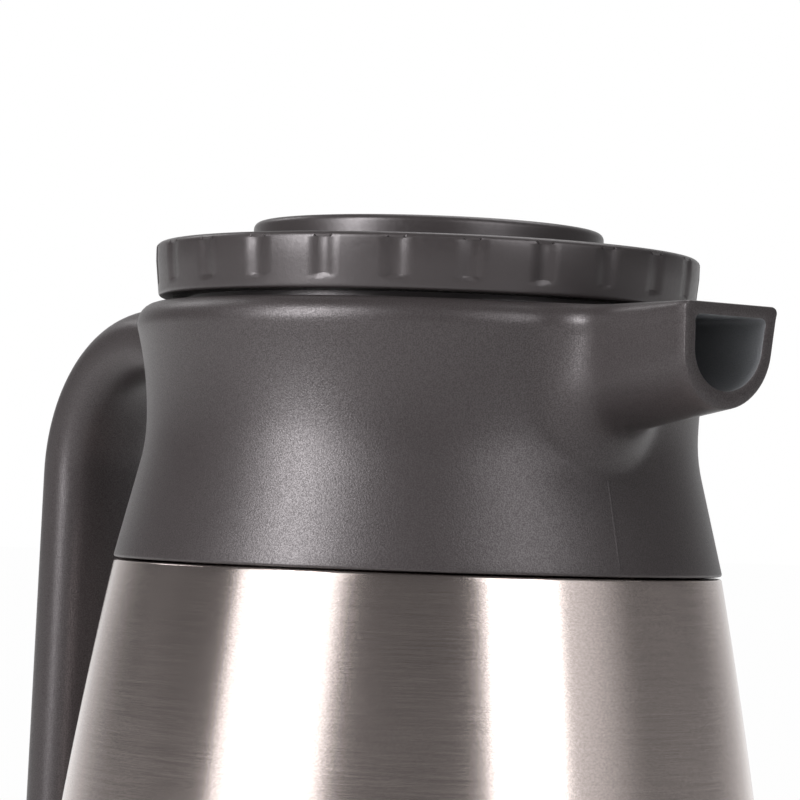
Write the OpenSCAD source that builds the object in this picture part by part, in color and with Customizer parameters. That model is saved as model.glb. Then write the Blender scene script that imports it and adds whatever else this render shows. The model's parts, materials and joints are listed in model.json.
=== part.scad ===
// Insulated serving carafe: a double steel vessel under a moulded collar with a
// D-shaped spout, a loop handle, and a lift-off grip lid that turns to pour.
// A flip cap on the lid covers a brew-through funnel with a float ball below it.
// Z = 0 is the table, +X points along the spout and the handle is on -X.

/* [Steel body] */
// Height of the collar's lower edge above the table
body_h = 165; // [155:1:180]
// Flare of the steel wall just under the collar, in degrees
body_flare = 10.3; // [9:0.1:11.5]
// Radius of the long curve that steepens the wall towards the base
body_sweep_r = 1670; // [1500:10:2200]
// Wall of the outer shell
shell_t = 0.8; // [0.6:0.1:1.1]
// Wall of the inner vessel
vessel_t = 0.7; // [0.5:0.1:1]
// Gap that holds the vacuum, between the two walls
vacuum_gap = 5; // [4:0.5:6]
// Height of the vessel's lip above the collar's lower edge
neck_rise = 22; // [21:0.5:23]
// Inside radius of the vessel's mouth
mouth_r = 40; // [38:0.5:40.5]
// Gap that holds the vacuum in the neck
neck_gap = 2.5; // [2:0.1:2.6]
// Slope of the shell's shoulder under the collar, in degrees
shoulder_slope = 27; // [24:1:29]
// Corner radius at the foot of the inner vessel
vessel_corner = 14; // [10:1:20]

/* [Base] */
// Height of the plastic base cup
base_h = 12; // [11:0.5:15]
// Wall of the base cup
base_t = 1.8; // [1.5:0.1:2.2]
// Thickness of the rubber foot pad
pad_t = 2; // [1.8:0.1:2.4]
// Radius of the rubber foot pad
pad_r = 74; // [68:1:76]
// How far the pad stands out of the base cup
pad_stand = 0.8; // [0.5:0.1:1.2]

/* [Collar] */
// Height of the collar
collar_h = 53.6; // [52.5:0.1:56]
// Wall of the collar
collar_t = 2.6; // [2.2:0.1:2.8]
// How far the collar's waist stands outside the well
waist_step = 7.25; // [6.75:0.05:8]
// Height of the waist above the collar's lower edge
waist_h = 28.6; // [27.5:0.1:29.5]
// Flare of the collar below its waist, in degrees
flare_angle = 13.9; // [13:0.1:15]
// Radius of the curve from the flare into the waist
lower_arc_r = 35; // [30:1:40]
// Radius of the curve from the waist up to the shoulder
upper_arc_r = 75; // [70:1:85]
// Radius of the collar's upper outer edge
edge_r = 4.4; // [3.8:0.1:4.8]
// How far the steel wall sits inside the collar's lower edge
collar_overhang = 0.75; // [0.5:0.05:1]
// Radius of the round well that takes the lid
well_r = 51; // [50.6:0.1:51.3]
// Wall of the well
well_t = 2.2; // [1.8:0.1:2.4]
// Thickness of the well's floor
floor_t = 3; // [2.6:0.1:3.2]
// Thickness of the gasket between the well's floor and the vessel's lip
gasket_t = 2; // [1.8:0.1:2.4]

/* [Spout] */
// Distance from the carafe's axis to the spout's mouth
spout_reach = 93.4; // [88:0.1:100]
// Width of the spout at its flat top
spout_w = 24.4; // [22:0.1:26]
// Height of the spout's mouth
spout_h = 20.2; // [19.4:0.1:21]
// How steeply the spout's underside falls towards the collar, in degrees
spout_fall = 9; // [7:0.5:10]
// Draft of the spout's sides, in degrees
spout_draft = 5; // [3:0.5:6]
// Radius of the blend between the spout and the collar
blend_r = 13; // [10:0.5:15]
// Lean of the mouth, whose upper lip reaches out farther, in degrees
mouth_lean = 4; // [2:0.5:6]
// Side walls of the spout
spout_side_t = 3; // [2.5:0.1:3.3]
// Upper wall of the spout
spout_roof_t = 2.1; // [1.9:0.1:2.5]
// Lower wall of the spout
spout_floor_t = 3.6; // [3:0.1:3.8]

/* [Handle] */
// Width of the handle's section
handle_w = 26; // [24:0.5:28]
// Depth of the handle's section
handle_d = 17; // [16:0.5:18.5]
// Distance from the carafe's axis to the middle of the grip's upper end
handle_reach = 125.5; // [121:0.5:131]
// Radius of the upper bend's centre line
arch_r = 31.5; // [29:0.5:34]
// Height of the upper bend's centre above the collar's lower edge
arch_rise = 15.5; // [14:0.5:16.5]
// Rise of the upper arm from the collar outwards, in degrees
arm_rise = 11; // [9:0.5:13]
// Outward lean of the grip, in degrees
grip_lean = 1.75; // [1:0.25:2.5]
// Length of the straight grip
grip_len = 85; // [75:1:92]
// Radius of the lower bend's centre line
heel_r = 45; // [40:1:50]
// Turn of the lower bend, in degrees
heel_turn = 62; // [58:1:66]
// Width of the cover let into the handle's back
cover_w = 18.6; // [16:0.2:19]
// Depth of the cover's seat below the handle's back
cover_t = 2.8; // [2.5:0.1:3.2]

/* [Lid] */
// How far the grip ring stands outside the well
ring_step = 6.5; // [6.2:0.1:7.2]
// Height of the grip ring
ring_h = 11.3; // [11:0.1:12.2]
// Shadow gap between the collar and the grip ring
ring_gap = 1.4; // [1.1:0.1:1.8]
// Wall of the grip ring
ring_t = 3; // [2.7:0.1:3.1]
// Inward draft of the grip ring from top to bottom
ring_draft = 0.8; // [0.5:0.1:1]
// Edge radius on top of the grip ring
ring_edge_r = 1.8; // [1.2:0.1:2.2]
// Thickness of the grip ring's deck
deck_t = 2.4; // [2.2:0.1:2.6]
// Number of grip pockets round the ring
pockets = 24; // [12:1:30]
// Width of a grip pocket
pocket_w = 3.8; // [3:0.1:4.6]
// Depth of a grip pocket
pocket_depth = 0.9; // [0.6:0.1:1.2]
// Solid band left below the pockets
pocket_foot = 2.3; // [1.8:0.1:3]
// Wall of the stopper's skirt
skirt_t = 3; // [2.6:0.1:3.4]
// Thickness of the stopper's plate
plate_t = 2.4; // [2.2:0.1:2.6]
// Half the angle of the pour window in the skirt, in degrees
window_half = 25; // [20:1:28]

/* [Flip cap] */
// Radius of the flip cap
cap_r = 37.1; // [36.6:0.1:38]
// Height of the flip cap above the grip ring
cap_h = 5.2; // [5:0.1:5.6]
// Edge radius on top of the flip cap
cap_edge_r = 1.5; // [1:0.1:1.8]
// Wall of the flip cap
cap_t = 1.8; // [1.5:0.1:2]
// Radius of the hinge pin
pin_r = 1; // [0.8:0.05:1.1]
// Distance from the carafe's axis to the hinge
hinge_back = 33.5; // [33.3:0.1:33.8]
// Width of the knuckle on the cap
knuckle_w = 18; // [14:1:20]
// Width of each ear on the lid
ear_w = 4; // [3:0.5:4]

/* [Brew funnel] */
// Radius of the funnel's rim
funnel_r = 33.3; // [32.9:0.1:33.5]
// Width of the funnel's flat brim
funnel_brim = 4.3; // [3.8:0.1:4.8]
// Wall of the funnel
funnel_t = 1.6; // [1.4:0.1:1.8]
// Outer radius of the funnel's tube
tube_r = 8; // [7.6:0.1:8.2]
// Radius of the float ball
ball_r = 7.2; // [7:0.05:7.3]
// How far the float ball rises to its seat
ball_travel = 4.8; // [4:0.1:5.2]
// Height of the cage's seat above the collar's lower edge
cage_rise = 8.5; // [6:0.5:9]
// Wall of the cage
cage_t = 1.9; // [1.7:0.1:2.2]

/* [Clearances] */
// Gap between parts that are assembled and stay still
seat_gap = 0.15; // [0.1:0.01:0.2]
// Gap between parts that move past each other
run_gap = 0.4; // [0.35:0.01:0.5]
// Radial gap round the hinge pin
pin_gap = 0.05; // [0.03:0.01:0.08]

/* [Hidden] */
$fn = 96;

plastic = [0.2, 0.18, 0.18];
gloss_plastic = [0.17, 0.15, 0.15];
steel = [0.66, 0.63, 0.6];
silicone = [0.86, 0.86, 0.84];
rubber = [0.1, 0.1, 0.1];
overcut = 1;

// Heights, from the table up
lip_z = body_h + neck_rise;
floor_z = lip_z + gasket_t;
well_z = floor_z + floor_t;
collar_top = body_h + collar_h;
ring_z = collar_top + ring_gap;
ring_top = ring_z + ring_h;
cap_top = ring_top + cap_h;

// Collar outline
waist_r = well_r + waist_step;
waist_z = body_h + waist_h;
flare_start = waist_z - lower_arc_r * sin(flare_angle);
flare_start_r = waist_r + lower_arc_r * (1 - cos(flare_angle));
collar_foot_r = flare_start_r + (flare_start - body_h) * tan(flare_angle);
foot_round = 1.2;
lead_in = 1;
upper_centre_r = waist_r + upper_arc_r;
edge_z = collar_top - edge_r;
edge_centre_r = upper_centre_r - sqrt(pow(upper_arc_r + edge_r, 2) - pow(edge_z - waist_z, 2));
edge_angle = asin((edge_z - waist_z) / (upper_arc_r + edge_r));

// Steel wall
shell_top_r = collar_foot_r - collar_overhang;
step_in = 1.8;
weld_gap = 0.1;
shell_foot_z = pad_stand + base_t + 0.4;
shoulder_round = 2.2;
shoulder_drop = 1.5;
neck_outer_r = mouth_r + vessel_t + neck_gap + shell_t;
vessel_floor_z = 12;
vessel_wall_rise = 40;
vessel_wall_z = vessel_floor_z + vessel_wall_rise;

// Screws
screw_r = 1.5;
touch = 0.05;
head_r = 2.5;
head_h = 1.2;
collar_screw_circle = neck_outer_r + 3.6;
collar_screw_count = 4;
boss_r = 3;
boss_inset = 0.8;
boss_reach = 8;
band_flange_rise = 15;
band_flange_z = body_h + band_flange_rise;
band_flange_t = 2;
band_t = 1.2;
handle_screw_y = 6;
handle_screw_rise = 40;
handle_screw_z = body_h + handle_screw_rise;
handle_screw_reach = 78;
lid_screw_circle = 42;
lid_screw_count = 3;
lid_boss_r = 3.2;

// Handle path
arch_centre_r = handle_reach - arch_r;
arch_centre_z = body_h + arch_rise;
arm_len = 38;
grip_top = [arch_centre_r + arch_r * cos(grip_lean), arch_centre_z + arch_r * sin(grip_lean)];
grip_end = grip_top + grip_len * [sin(grip_lean), -cos(grip_lean)];
heel_centre = grip_end - heel_r * [cos(grip_lean), sin(grip_lean)];
heel_end_angle = grip_lean - heel_turn;
heel_end = heel_centre + heel_r * [cos(heel_end_angle), sin(heel_end_angle)];
heel_direction = [sin(heel_end_angle), -cos(heel_end_angle)];
tail_len = 34;
cover_margin = 4;
join = 0.002;
handle_floor = 3.5;
ledge_w = 1.5;

// Bracket that carries the handle's foot
bracket_t = 1.3;
bracket_reach = 15;
bracket_w = 14;
bracket_h = 7;
plate_w = 16;
plate_h = 14;

// Stopper, seals and window
ring_r = well_r + ring_step;
skirt_r = well_r - run_gap;
skirt_bottom = well_z + run_gap;
seal_groove_z = collar_top - 3;
seal_groove_h = 2.2;
seal_groove_depth = 1.4;
foot_flange_r = mouth_r + 1;
foot_flange_t = 3;
stopper_seal_w = 3;
stopper_seal_depth = 1.6;
stopper_seal_r = foot_flange_r + 1;
window_foot = skirt_bottom + foot_flange_t + 0.6;
window_top = seal_groove_z - 1.6;
window_depth = skirt_t + 2;
plate_r = ring_r - ring_draft - ring_t - seat_gap;

// Dish in the lid's deck that lets a thumb under the flip cap
scoop_r = 12;
scoop_depth = 1.5;
scoop_x = cap_r + 2.5;

// Funnel and its cage
rim_z = ring_top - 0.3;
rim_t = 2.1;
ledge_r = funnel_r - 1.8;
ledge_t = 2.3;
bowl_r = funnel_r - funnel_brim;
cage_z = body_h + cage_rise;
cage_floor_t = 1.5;
ball_z = cage_z + cage_floor_t + ball_r;
tube_bore = tube_r - funnel_t;
tube_end = ball_z + ball_travel + sqrt(pow(ball_r, 2) - pow(tube_bore, 2)) + 0.1;
cage_r = tube_r + cage_t;
cage_grip = 5;
bowl_lift = 23;
bowl_foot_z = tube_end + bowl_lift;
bowl_side_z = rim_z - 4;
bowl_spread = (bowl_r + funnel_t - tube_r) / (bowl_side_z - bowl_foot_z);
lid_hole_r = tube_r + (ring_z + plate_t - bowl_foot_z) * bowl_spread + 2 * run_gap;

// Flip cap hinge
knuckle_r = (cap_h - 0.3) / 2;
hinge_z = ring_top + 0.2 + knuckle_r;
pin_bore = pin_r + pin_gap;
ear_gap = 0.3;
ear_y = knuckle_w / 2 + ear_gap;
cap_foot = ring_top + 0.3;
gasket_w = 1.8;
gasket_r = hinge_back - knuckle_r - gasket_w - seat_gap;
gasket_h = 1.6;

// Plane geometry for the turned walls
function unit(v) = v / norm(v);
function left_of(v) = [-v[1], v[0]];
function step_before(p, i) = unit(i > 0 ? p[i] - p[i - 1] : p[1] - p[0]);
function step_after(p, i) = unit(i < len(p) - 1 ? p[i + 1] - p[i] : p[i] - p[i - 1]);
function mitre(p, i, t) =
    let (m = left_of(step_before(p, i)), n = left_of(step_after(p, i)))
    p[i] + t * (m + n) / (1 + m * n);
// A wall of thickness t on the left-hand side of an open path
function wall(p, t) = concat(p, [for (i = [len(p) - 1 : -1 : 0]) mitre(p, i, t)]);
// The points of an arc about c, from angle a to angle b, from point number first on
function arc(c, r, a, b, n = 8, first = 0) =
    [for (i = [first : n]) c + r * [cos(a + (b - a) * i / n), sin(a + (b - a) * i / n)]];
// The corner at b between a and c, rounded to radius r
function corner(a, b, c, r, n = 6) =
    let (u = unit(a - b), v = unit(c - b), half = acos(u * v) / 2,
        centre = b + unit(u + v) * r / sin(half),
        from = b + u * r / tan(half) - centre, to = b + v * r / tan(half) - centre,
        first = atan2(from[1], from[0]), turn = (atan2(to[1], to[0]) - first + 540) % 360 - 180)
    [for (i = [0 : n]) centre + r * [cos(first + turn * i / n), sin(first + turn * i / n)]];

// Radius of the steel wall at height z
function shell_r(z) =
    let (d = body_h - z) shell_top_r + tan(body_flare) * d - d * d / (2 * body_sweep_r);

shoulder_z = body_h - shoulder_drop;
shoulder_end = [neck_outer_r, shoulder_z + (shell_r(shoulder_z) - neck_outer_r) * tan(shoulder_slope)];
wall_steps = 12;
shell_path = concat(
    [[shell_r(base_h) - step_in, shell_foot_z], [shell_r(base_h) - step_in, base_h - step_in]],
    [for (i = [0 : wall_steps - 1]) let (z = base_h + (shoulder_z - 4 - base_h) * i / (wall_steps - 1))
        [shell_r(z), z]],
    corner([shell_r(shoulder_z - 4), shoulder_z - 4], [shell_r(shoulder_z), shoulder_z], shoulder_end,
        shoulder_round),
    corner([shell_r(shoulder_z), shoulder_z], shoulder_end, [neck_outer_r, lip_z], 4),
    [[neck_outer_r, lip_z - vessel_t]]);

// Outline of the inner vessel's outer face, from its middle to its lip
function vessel_r(z) = shell_r(z) - shell_t - vacuum_gap;
vessel_neck_r = mouth_r + vessel_t;
vessel_shoulder_z = shoulder_z - vacuum_gap - 1;
vessel_neck_z = vessel_shoulder_z + (vessel_r(vessel_shoulder_z) - vessel_neck_r) * tan(shoulder_slope);
vessel_path = concat(
    [[0, vessel_floor_z]],
    corner([0, vessel_floor_z], [vessel_r(vessel_floor_z), vessel_floor_z],
        [vessel_r(vessel_wall_z), vessel_wall_z], vessel_corner, 10),
    [for (i = [0 : wall_steps - 1])
        let (z = vessel_wall_z + (vessel_shoulder_z - 12 - vessel_wall_z) * i / (wall_steps - 1))
        [vessel_r(z), z]],
    corner([vessel_r(vessel_shoulder_z - 12), vessel_shoulder_z - 12],
        [vessel_r(vessel_shoulder_z), vessel_shoulder_z], [vessel_neck_r, vessel_neck_z], 8),
    corner([vessel_r(vessel_shoulder_z), vessel_shoulder_z], [vessel_neck_r, vessel_neck_z],
        [vessel_neck_r, lip_z], 5),
    [[vessel_neck_r, lip_z - vessel_t], [neck_outer_r, lip_z - vessel_t]]);

module outer_shell() {
    color(steel)
    rotate_extrude() polygon(wall(shell_path, shell_t));
}

module inner_vessel() {
    color(steel)
    rotate_extrude() polygon(wall(vessel_path, vessel_t));
}

// Pressed disc welded into the shell's foot
module shell_bottom() {
    rim_r = shell_r(base_h) - step_in - shell_t - weld_gap;
    rim_w = 10;
    slope_w = 5;
    rim_low = shell_foot_z + 0.6;
    dome_z = shell_foot_z + 3.2;
    color(steel)
    rotate_extrude()
    polygon(wall([[0, dome_z], [rim_r - rim_w - slope_w, dome_z], [rim_r - rim_w, rim_low], [rim_r, rim_low]],
        shell_t));
}

// Pellet that soaks up stray gas in the vacuum, on the underside of the vessel
module getter() {
    getter_t = 2.4;
    getter_d = 14;
    color("dimgray")
    translate([0, 0, vessel_floor_z - getter_t]) cylinder(d = getter_d, h = getter_t);
}

module base_cup() {
    cup_r = shell_r(base_h);
    inner_r = cup_r - step_in + seat_gap;
    cup_floor = shell_foot_z - seat_gap;
    color(plastic)
    difference() {
        rotate_extrude()
        polygon(concat([[0, pad_stand]], corner([0, pad_stand], [cup_r, pad_stand], [cup_r, base_h], 2.6),
            [[cup_r, base_h - seat_gap], [inner_r, base_h - step_in - seat_gap], [inner_r, cup_floor],
            [0, cup_floor]]));
        translate([0, 0, -overcut]) cylinder(r = pad_r + seat_gap, h = overcut + pad_t);
    }
}

module foot_pad() {
    color(rubber)
    rotate_extrude()
    polygon([[0, 0], [pad_r - 0.6, 0], [pad_r, 0.6], [pad_r, pad_t], [0, pad_t]]);
}

// Steel band welded round the neck, whose flange takes the collar's screws
module neck_band() {
    band_foot = shoulder_end[1] + 3;
    flange_r = collar_screw_circle + boss_r;
    color(steel)
    difference() {
        union() {
            translate([0, 0, band_foot])
            cylinder(r = neck_outer_r + band_t, h = band_flange_z + band_flange_t - band_foot);
            translate([0, 0, band_flange_z]) cylinder(r = flange_r, h = band_flange_t);
        }
        translate([0, 0, band_foot - overcut]) cylinder(r = neck_outer_r + weld_gap, h = band_flange_z);
        collar_screw_places()
        translate([0, 0, band_flange_z - overcut]) cylinder(r = screw_r, h = band_flange_t + 2 * overcut);
    }
}

module neck_gasket() {
    color(silicone)
    translate([0, 0, lip_z])
    difference() {
        cylinder(r = neck_outer_r + 0.4, h = gasket_t);
        translate([0, 0, -overcut]) cylinder(r = mouth_r + 0.3, h = gasket_t + 2 * overcut);
    }
}

module collar_screw_places() {
    for (i = [0 : collar_screw_count - 1])
        rotate([0, 0, 45 + 360 / collar_screw_count * i])
        translate([collar_screw_circle, 0, 0]) children();
}

// Countersunk screw whose head's face is at z = 0 and whose shank points down
module screw(length, shank = screw_r, head = head_r) {
    rotate([180, 0, 0]) {
        cylinder(r1 = head, r2 = shank, h = head_h);
        cylinder(r = shank, h = length);
    }
}

// The hole that a countersunk screw sits in
module screw_seat(length, shank = screw_r, head = head_r) {
    screw(length, shank + seat_gap, head + seat_gap);
    cylinder(r = head + seat_gap, h = overcut);
}

module collar_screws() {
    color(steel)
    collar_screw_places()
    translate([0, 0, well_z]) screw(well_z - band_flange_z, screw_r - touch);
}

// Outline of the collar's outer face, above its foot
collar_path = concat(
    arc([waist_r + lower_arc_r, waist_z], lower_arc_r, 180 + flare_angle, 180, 6),
    arc([upper_centre_r, waist_z], upper_arc_r, 180, 180 - edge_angle, 8, 1),
    arc([edge_centre_r, edge_z], edge_r, -edge_angle, 90, 8, 1));

collar_foot_in = collar_foot_r - collar_t / cos(flare_angle);
collar_foot = corner([collar_foot_in, body_h], [collar_foot_r, body_h], collar_path[0], foot_round, 4);

// Everything inside the collar's outer face, grown by a clearance
module collar_envelope(grow) {
    rotate_extrude()
    polygon(concat([[0, body_h - grow], [collar_foot_r + grow, body_h - grow]],
        [for (i = [0 : len(collar_path) - 1]) mitre(collar_path, i, -grow)],
        [[0, collar_top + grow]]));
}

// The collar's skin, from its foot to the well's edge
module collar_skin() {
    rotate_extrude()
    polygon(concat(collar_foot, wall(concat(collar_path, [[well_r + 1, collar_top]]), collar_t),
        [[collar_foot_in, body_h]]));
}

// D-shaped outline across the spout at x: a flat top, drafted sides and a round keel
spout_top = collar_top - 0.2;
function spout_keel(x) = spout_top - spout_h - (spout_reach - x) * tan(spout_fall);
blend_x = sqrt(pow(waist_r + blend_r, 2) - pow(spout_w / 2 + blend_r, 2));
blend_end = blend_x * waist_r / (waist_r + blend_r);
function blend_out(x) =
    let (d = blend_x - max(x, blend_end)) d > 0 ? blend_r - sqrt(pow(blend_r, 2) - d * d) : 0;
function keel_r(half, height) =
    (half - height * tan(spout_draft)) / (1 - tan(spout_draft) * (1 + tan(spout_draft / 2)));
function d_outline(half, top, keel, round_r) =
    let (r = keel_r(half, top - keel), z = keel + r)
    concat(
        arc([half - round_r, top - round_r], round_r, 90, 0, 4),
        arc([0, z], r, -spout_draft, spout_draft - 180, 16),
        arc([round_r - half, top - round_r], round_r, 180, 90, 4));
function spout_ring(x) =
    let (out = blend_out(x), share = min(1, max(0, (spout_reach - x) / (spout_reach - blend_x))))
    [for (p = d_outline(spout_w / 2 + out, spout_top, spout_keel(x) - out, 1.5 + 2.5 * share))
        [x + (x >= spout_reach ? (p[1] - spout_top) * tan(mouth_lean) : 0), p[0], p[1]]];
function channel_ring(x) =
    [for (p = d_outline(spout_w / 2 - spout_side_t, spout_top - spout_roof_t,
        spout_keel(x) + spout_floor_t, 1.2)) [x, p[0], p[1]]];

// A closed solid through rings of equally many points
module loft(rings) {
    n = len(rings[0]);
    m = len(rings);
    polyhedron([for (ring = rings) each ring], concat(
        [[for (i = [n - 1 : -1 : 0]) i]],
        [for (j = [0 : m - 2], i = [0 : n - 1])
            let (k = (i + 1) % n) [j * n + i, j * n + k, (j + 1) * n + i]],
        [for (j = [0 : m - 2], i = [0 : n - 1])
            let (k = (i + 1) % n) [j * n + k, (j + 1) * n + k, (j + 1) * n + i]],
        [[for (i = [0 : n - 1]) (m - 1) * n + i]]));
}

blend_steps = 9;
spout_stations = concat([well_r - 2],
    [for (i = [0 : blend_steps]) blend_end + (blend_x - blend_end) * i / blend_steps], [spout_reach]);

module collar() {
    color(plastic)
    difference() {
        union() {
            collar_skin();
            translate([0, 0, floor_z]) cylinder(r = well_r + well_t, h = collar_top - floor_z - edge_r / 4);
            loft([for (x = spout_stations) spout_ring(x)]);
            collar_screw_places()
            translate([0, 0, band_flange_z + band_flange_t + seat_gap])
            cylinder(r = boss_r, h = floor_z - band_flange_z - band_flange_t);
            intersection() {
                handle_screw_places()
                translate([0, 0, overcut]) rotate([180, 0, 0])
                cylinder(r = boss_r + 0.6, h = well_t + boss_reach);
                collar_envelope(-boss_inset);
            }
        }
        translate([0, 0, well_z]) cylinder(r = well_r, h = collar_h);
        translate([0, 0, floor_z - overcut]) cylinder(r = mouth_r + 1, h = collar_h);
        translate([0, 0, collar_top - lead_in])
        cylinder(r1 = well_r, r2 = well_r + 1.5 * lead_in, h = 1.5 * lead_in);
        loft([for (x = [mouth_r + 4, spout_reach + 2]) channel_ring(x)]);
        collar_screw_places() translate([0, 0, well_z]) screw_seat(well_z);
        handle_screw_places() screw_seat(handle_screw_reach - well_r, screw_r, head_r + 0.3);
    }
}

// The two screws through the well's wall into the handle: z = 0 is the head's face
module handle_screw_places() {
    for (side = [-1, 1])
        translate([-well_r, side * handle_screw_y, handle_screw_z])
        rotate([0, 90, 0]) children();
}

module upper_handle_screws() {
    color(steel)
    handle_screw_places() screw(handle_screw_reach - well_r - 1, screw_r, head_r + 0.3);
}

// Section of the handle: x points out of the loop and y runs across it
section_points = 40;
section_power = 2.5;
function rounder(v) = sign(v) * pow(abs(v), 2 / section_power);
module handle_section() {
    polygon([for (i = [0 : section_points - 1])
        let (a = 360 / section_points * i)
        [handle_d / 2 * rounder(cos(a)), handle_w / 2 * rounder(sin(a))]]);
}

// Places children at the grip's lower end: Z runs up the grip and X points out of the loop
module in_grip() {
    translate([grip_end[0], 0, grip_end[1]]) rotate([0, -grip_lean, 0]) children();
}

// A section swept up a bend that starts in the plane of X and Y
module bend(r, turn) {
    rotate([90, 0, 0]) rotate_extrude(angle = turn) translate([r, 0]) children();
}

// The straight stretch that follows such a bend
module after_bend(r, turn, length) {
    rotate([0, -turn, 0]) translate([r, 0, -join]) linear_extrude(length + join) children();
}

// Lays a section along the whole handle, on the +X side
module handle_sweep() {
    arch_turn = 90 + arm_rise - grip_lean;
    in_grip() {
        linear_extrude(grip_len) children();
        translate([-arch_r, 0, grip_len]) {
            bend(arch_r, arch_turn) children();
            after_bend(arch_r, arch_turn, arm_len) children();
        }
        translate([-heel_r, 0, 0]) mirror([0, 0, 1]) {
            bend(heel_r, heel_turn) children();
            after_bend(heel_r, heel_turn, tail_len) children();
        }
    }
}

// A box in the grip from a depth below the handle's back, trimmed at each end
module grip_box(depth, width, trim) {
    in_grip()
    translate([handle_d / 2 - depth, -width / 2, trim]) cube([handle_d, width, grip_len - 2 * trim]);
}

module handle() {
    color(plastic)
    difference() {
        mirror([1, 0, 0])
        difference() {
            handle_sweep() handle_section();
            grip_box(handle_d - handle_floor, cover_w - 2 * ledge_w, cover_margin + ledge_w);
            grip_box(cover_t, cover_w, cover_margin);
        }
        collar_envelope(seat_gap);
        rotate_extrude() polygon(concat([[0, shell_foot_z]],
            [for (i = [0 : wall_steps]) let (z = base_h + (body_h - base_h) * i / wall_steps)
                [shell_r(z) + seat_gap, z]], [[0, body_h]]));
        handle_screw_places() screw_seat(handle_screw_reach - well_r, screw_r - touch);
        bracket(seat_gap);
        translate([-bracket_mid, 0, 0]) cylinder(r = head_r + run_gap, h = lower_screw_z);
        translate([-bracket_mid, 0, 0]) cylinder(r = screw_r + seat_gap, h = bracket_z + bracket_h / 2);
    }
}

module handle_cover() {
    color(plastic)
    mirror([1, 0, 0])
    in_grip()
    translate([0, 0, cover_margin + seat_gap])
    linear_extrude(grip_len - 2 * cover_margin - 2 * seat_gap) intersection() {
        handle_section();
        translate([handle_d / 2 - cover_t + seat_gap, seat_gap - cover_w / 2])
        square([handle_d, cover_w - 2 * seat_gap]);
    }
}

// Height of the handle's lower arm at a distance from the carafe's axis
function tail_z(r) = heel_end[1] - (heel_end[0] - r) * heel_direction[1] / heel_direction[0];
bracket_face = shell_r(heel_end[1] - 12);
bracket_mid = bracket_face + bracket_reach / 2;
bracket_z = tail_z(bracket_mid) - bracket_h / 2;
plate_z = tail_z(bracket_face) - plate_h / 2 + 1;
lower_screw_z = bracket_z - 2;

// Plate welded to the shell with a tongue that the handle's foot slips over
module bracket(grow) {
    intersection() {
        difference() {
            rotate_extrude()
            polygon([for (p = [[bracket_t, -1], [bracket_t, 1], [-overcut, 1], [-overcut, -1]])
                let (z = plate_z + plate_h / 2 + p[1] * (plate_h / 2 + grow))
                [shell_r(z) + p[0] + (p[0] > 0 ? grow : 0), z]]);
            rotate_extrude() polygon([for (p = [[0, -1], [0, 1], [-plate_h, 1], [-plate_h, -1]])
                let (z = plate_z + plate_h / 2 + p[1] * plate_h) [shell_r(z) + p[0] + weld_gap, z]]);
        }
        translate([-bracket_face - plate_h, -plate_w / 2 - grow, plate_z - plate_h])
        cube([2 * plate_h, plate_w + 2 * grow, 3 * plate_h]);
    }
    translate([-bracket_face - bracket_reach - grow, -bracket_w / 2 - grow, bracket_z - grow])
    cube([bracket_reach + grow - bracket_t / 2, bracket_w + 2 * grow, bracket_h + 2 * grow]);
}

module handle_bracket() {
    color(steel)
    difference() {
        bracket(0);
        translate([-bracket_mid, 0, bracket_z - overcut]) cylinder(r = screw_r, h = bracket_h + 2 * overcut);
    }
}

module lower_handle_screw() {
    color(steel)
    translate([-bracket_mid, 0, lower_screw_z - head_h]) {
        cylinder(r = head_r, h = head_h);
        cylinder(r = screw_r - touch, h = head_h + bracket_z - lower_screw_z + bracket_h - 0.5);
    }
}

// Slip ring that seals the lid against the wall of the well
module lid_seal() {
    color(silicone)
    translate([0, 0, seal_groove_z + seat_gap])
    difference() {
        cylinder(r = well_r - seat_gap, h = seal_groove_h - 2 * seat_gap);
        translate([0, 0, -overcut])
        cylinder(r = skirt_r - seal_groove_depth + seat_gap, h = seal_groove_h + 2 * overcut);
    }
}

module grip_ring() {
    foot_r = ring_r - ring_draft;
    ring_path = concat([[foot_r, ring_z], [ring_r, ring_top - 2 * ring_edge_r]],
        corner([ring_r, ring_top - 2 * ring_edge_r], [ring_r, ring_top], [0, ring_top], ring_edge_r),
        [[funnel_r, ring_top]]);
    color(gloss_plastic)
    difference() {
        union() {
            rotate_extrude()
            polygon(concat(ring_path, [[funnel_r, ring_top - deck_t], [foot_r - ring_t, ring_top - deck_t],
                [foot_r - ring_t, ring_z]]));
            translate([0, 0, rim_z - rim_t - ledge_t]) cylinder(r = funnel_r + 3, h = ledge_t + deck_t / 2);
            lid_screw_places()
            translate([0, 0, ring_z + plate_t]) cylinder(r = lid_boss_r, h = ring_h - plate_t - deck_t / 2);
            ears();
        }
        translate([0, 0, rim_z - rim_t]) cylinder(r = funnel_r + seat_gap, h = rim_t + ring_top - rim_z);
        translate([0, 0, ring_z]) cylinder(r = ledge_r, h = ring_h);
        lid_screw_places() translate([0, 0, ring_z]) cylinder(r = screw_r - 0.2, h = ring_h - deck_t + 0.6);
        for (i = [0 : pockets - 1]) rotate([0, 0, 360 / pockets * i]) pocket();
        translate([scoop_x, 0, ring_top + scoop_r - scoop_depth]) sphere(r = scoop_r);
        translate([-hinge_back, 0, hinge_z]) rotate([90, 0, 0])
        cylinder(r = pin_r + 0.02, h = 2 * (ear_y + ear_w + overcut), center = true);
    }
}

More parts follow.
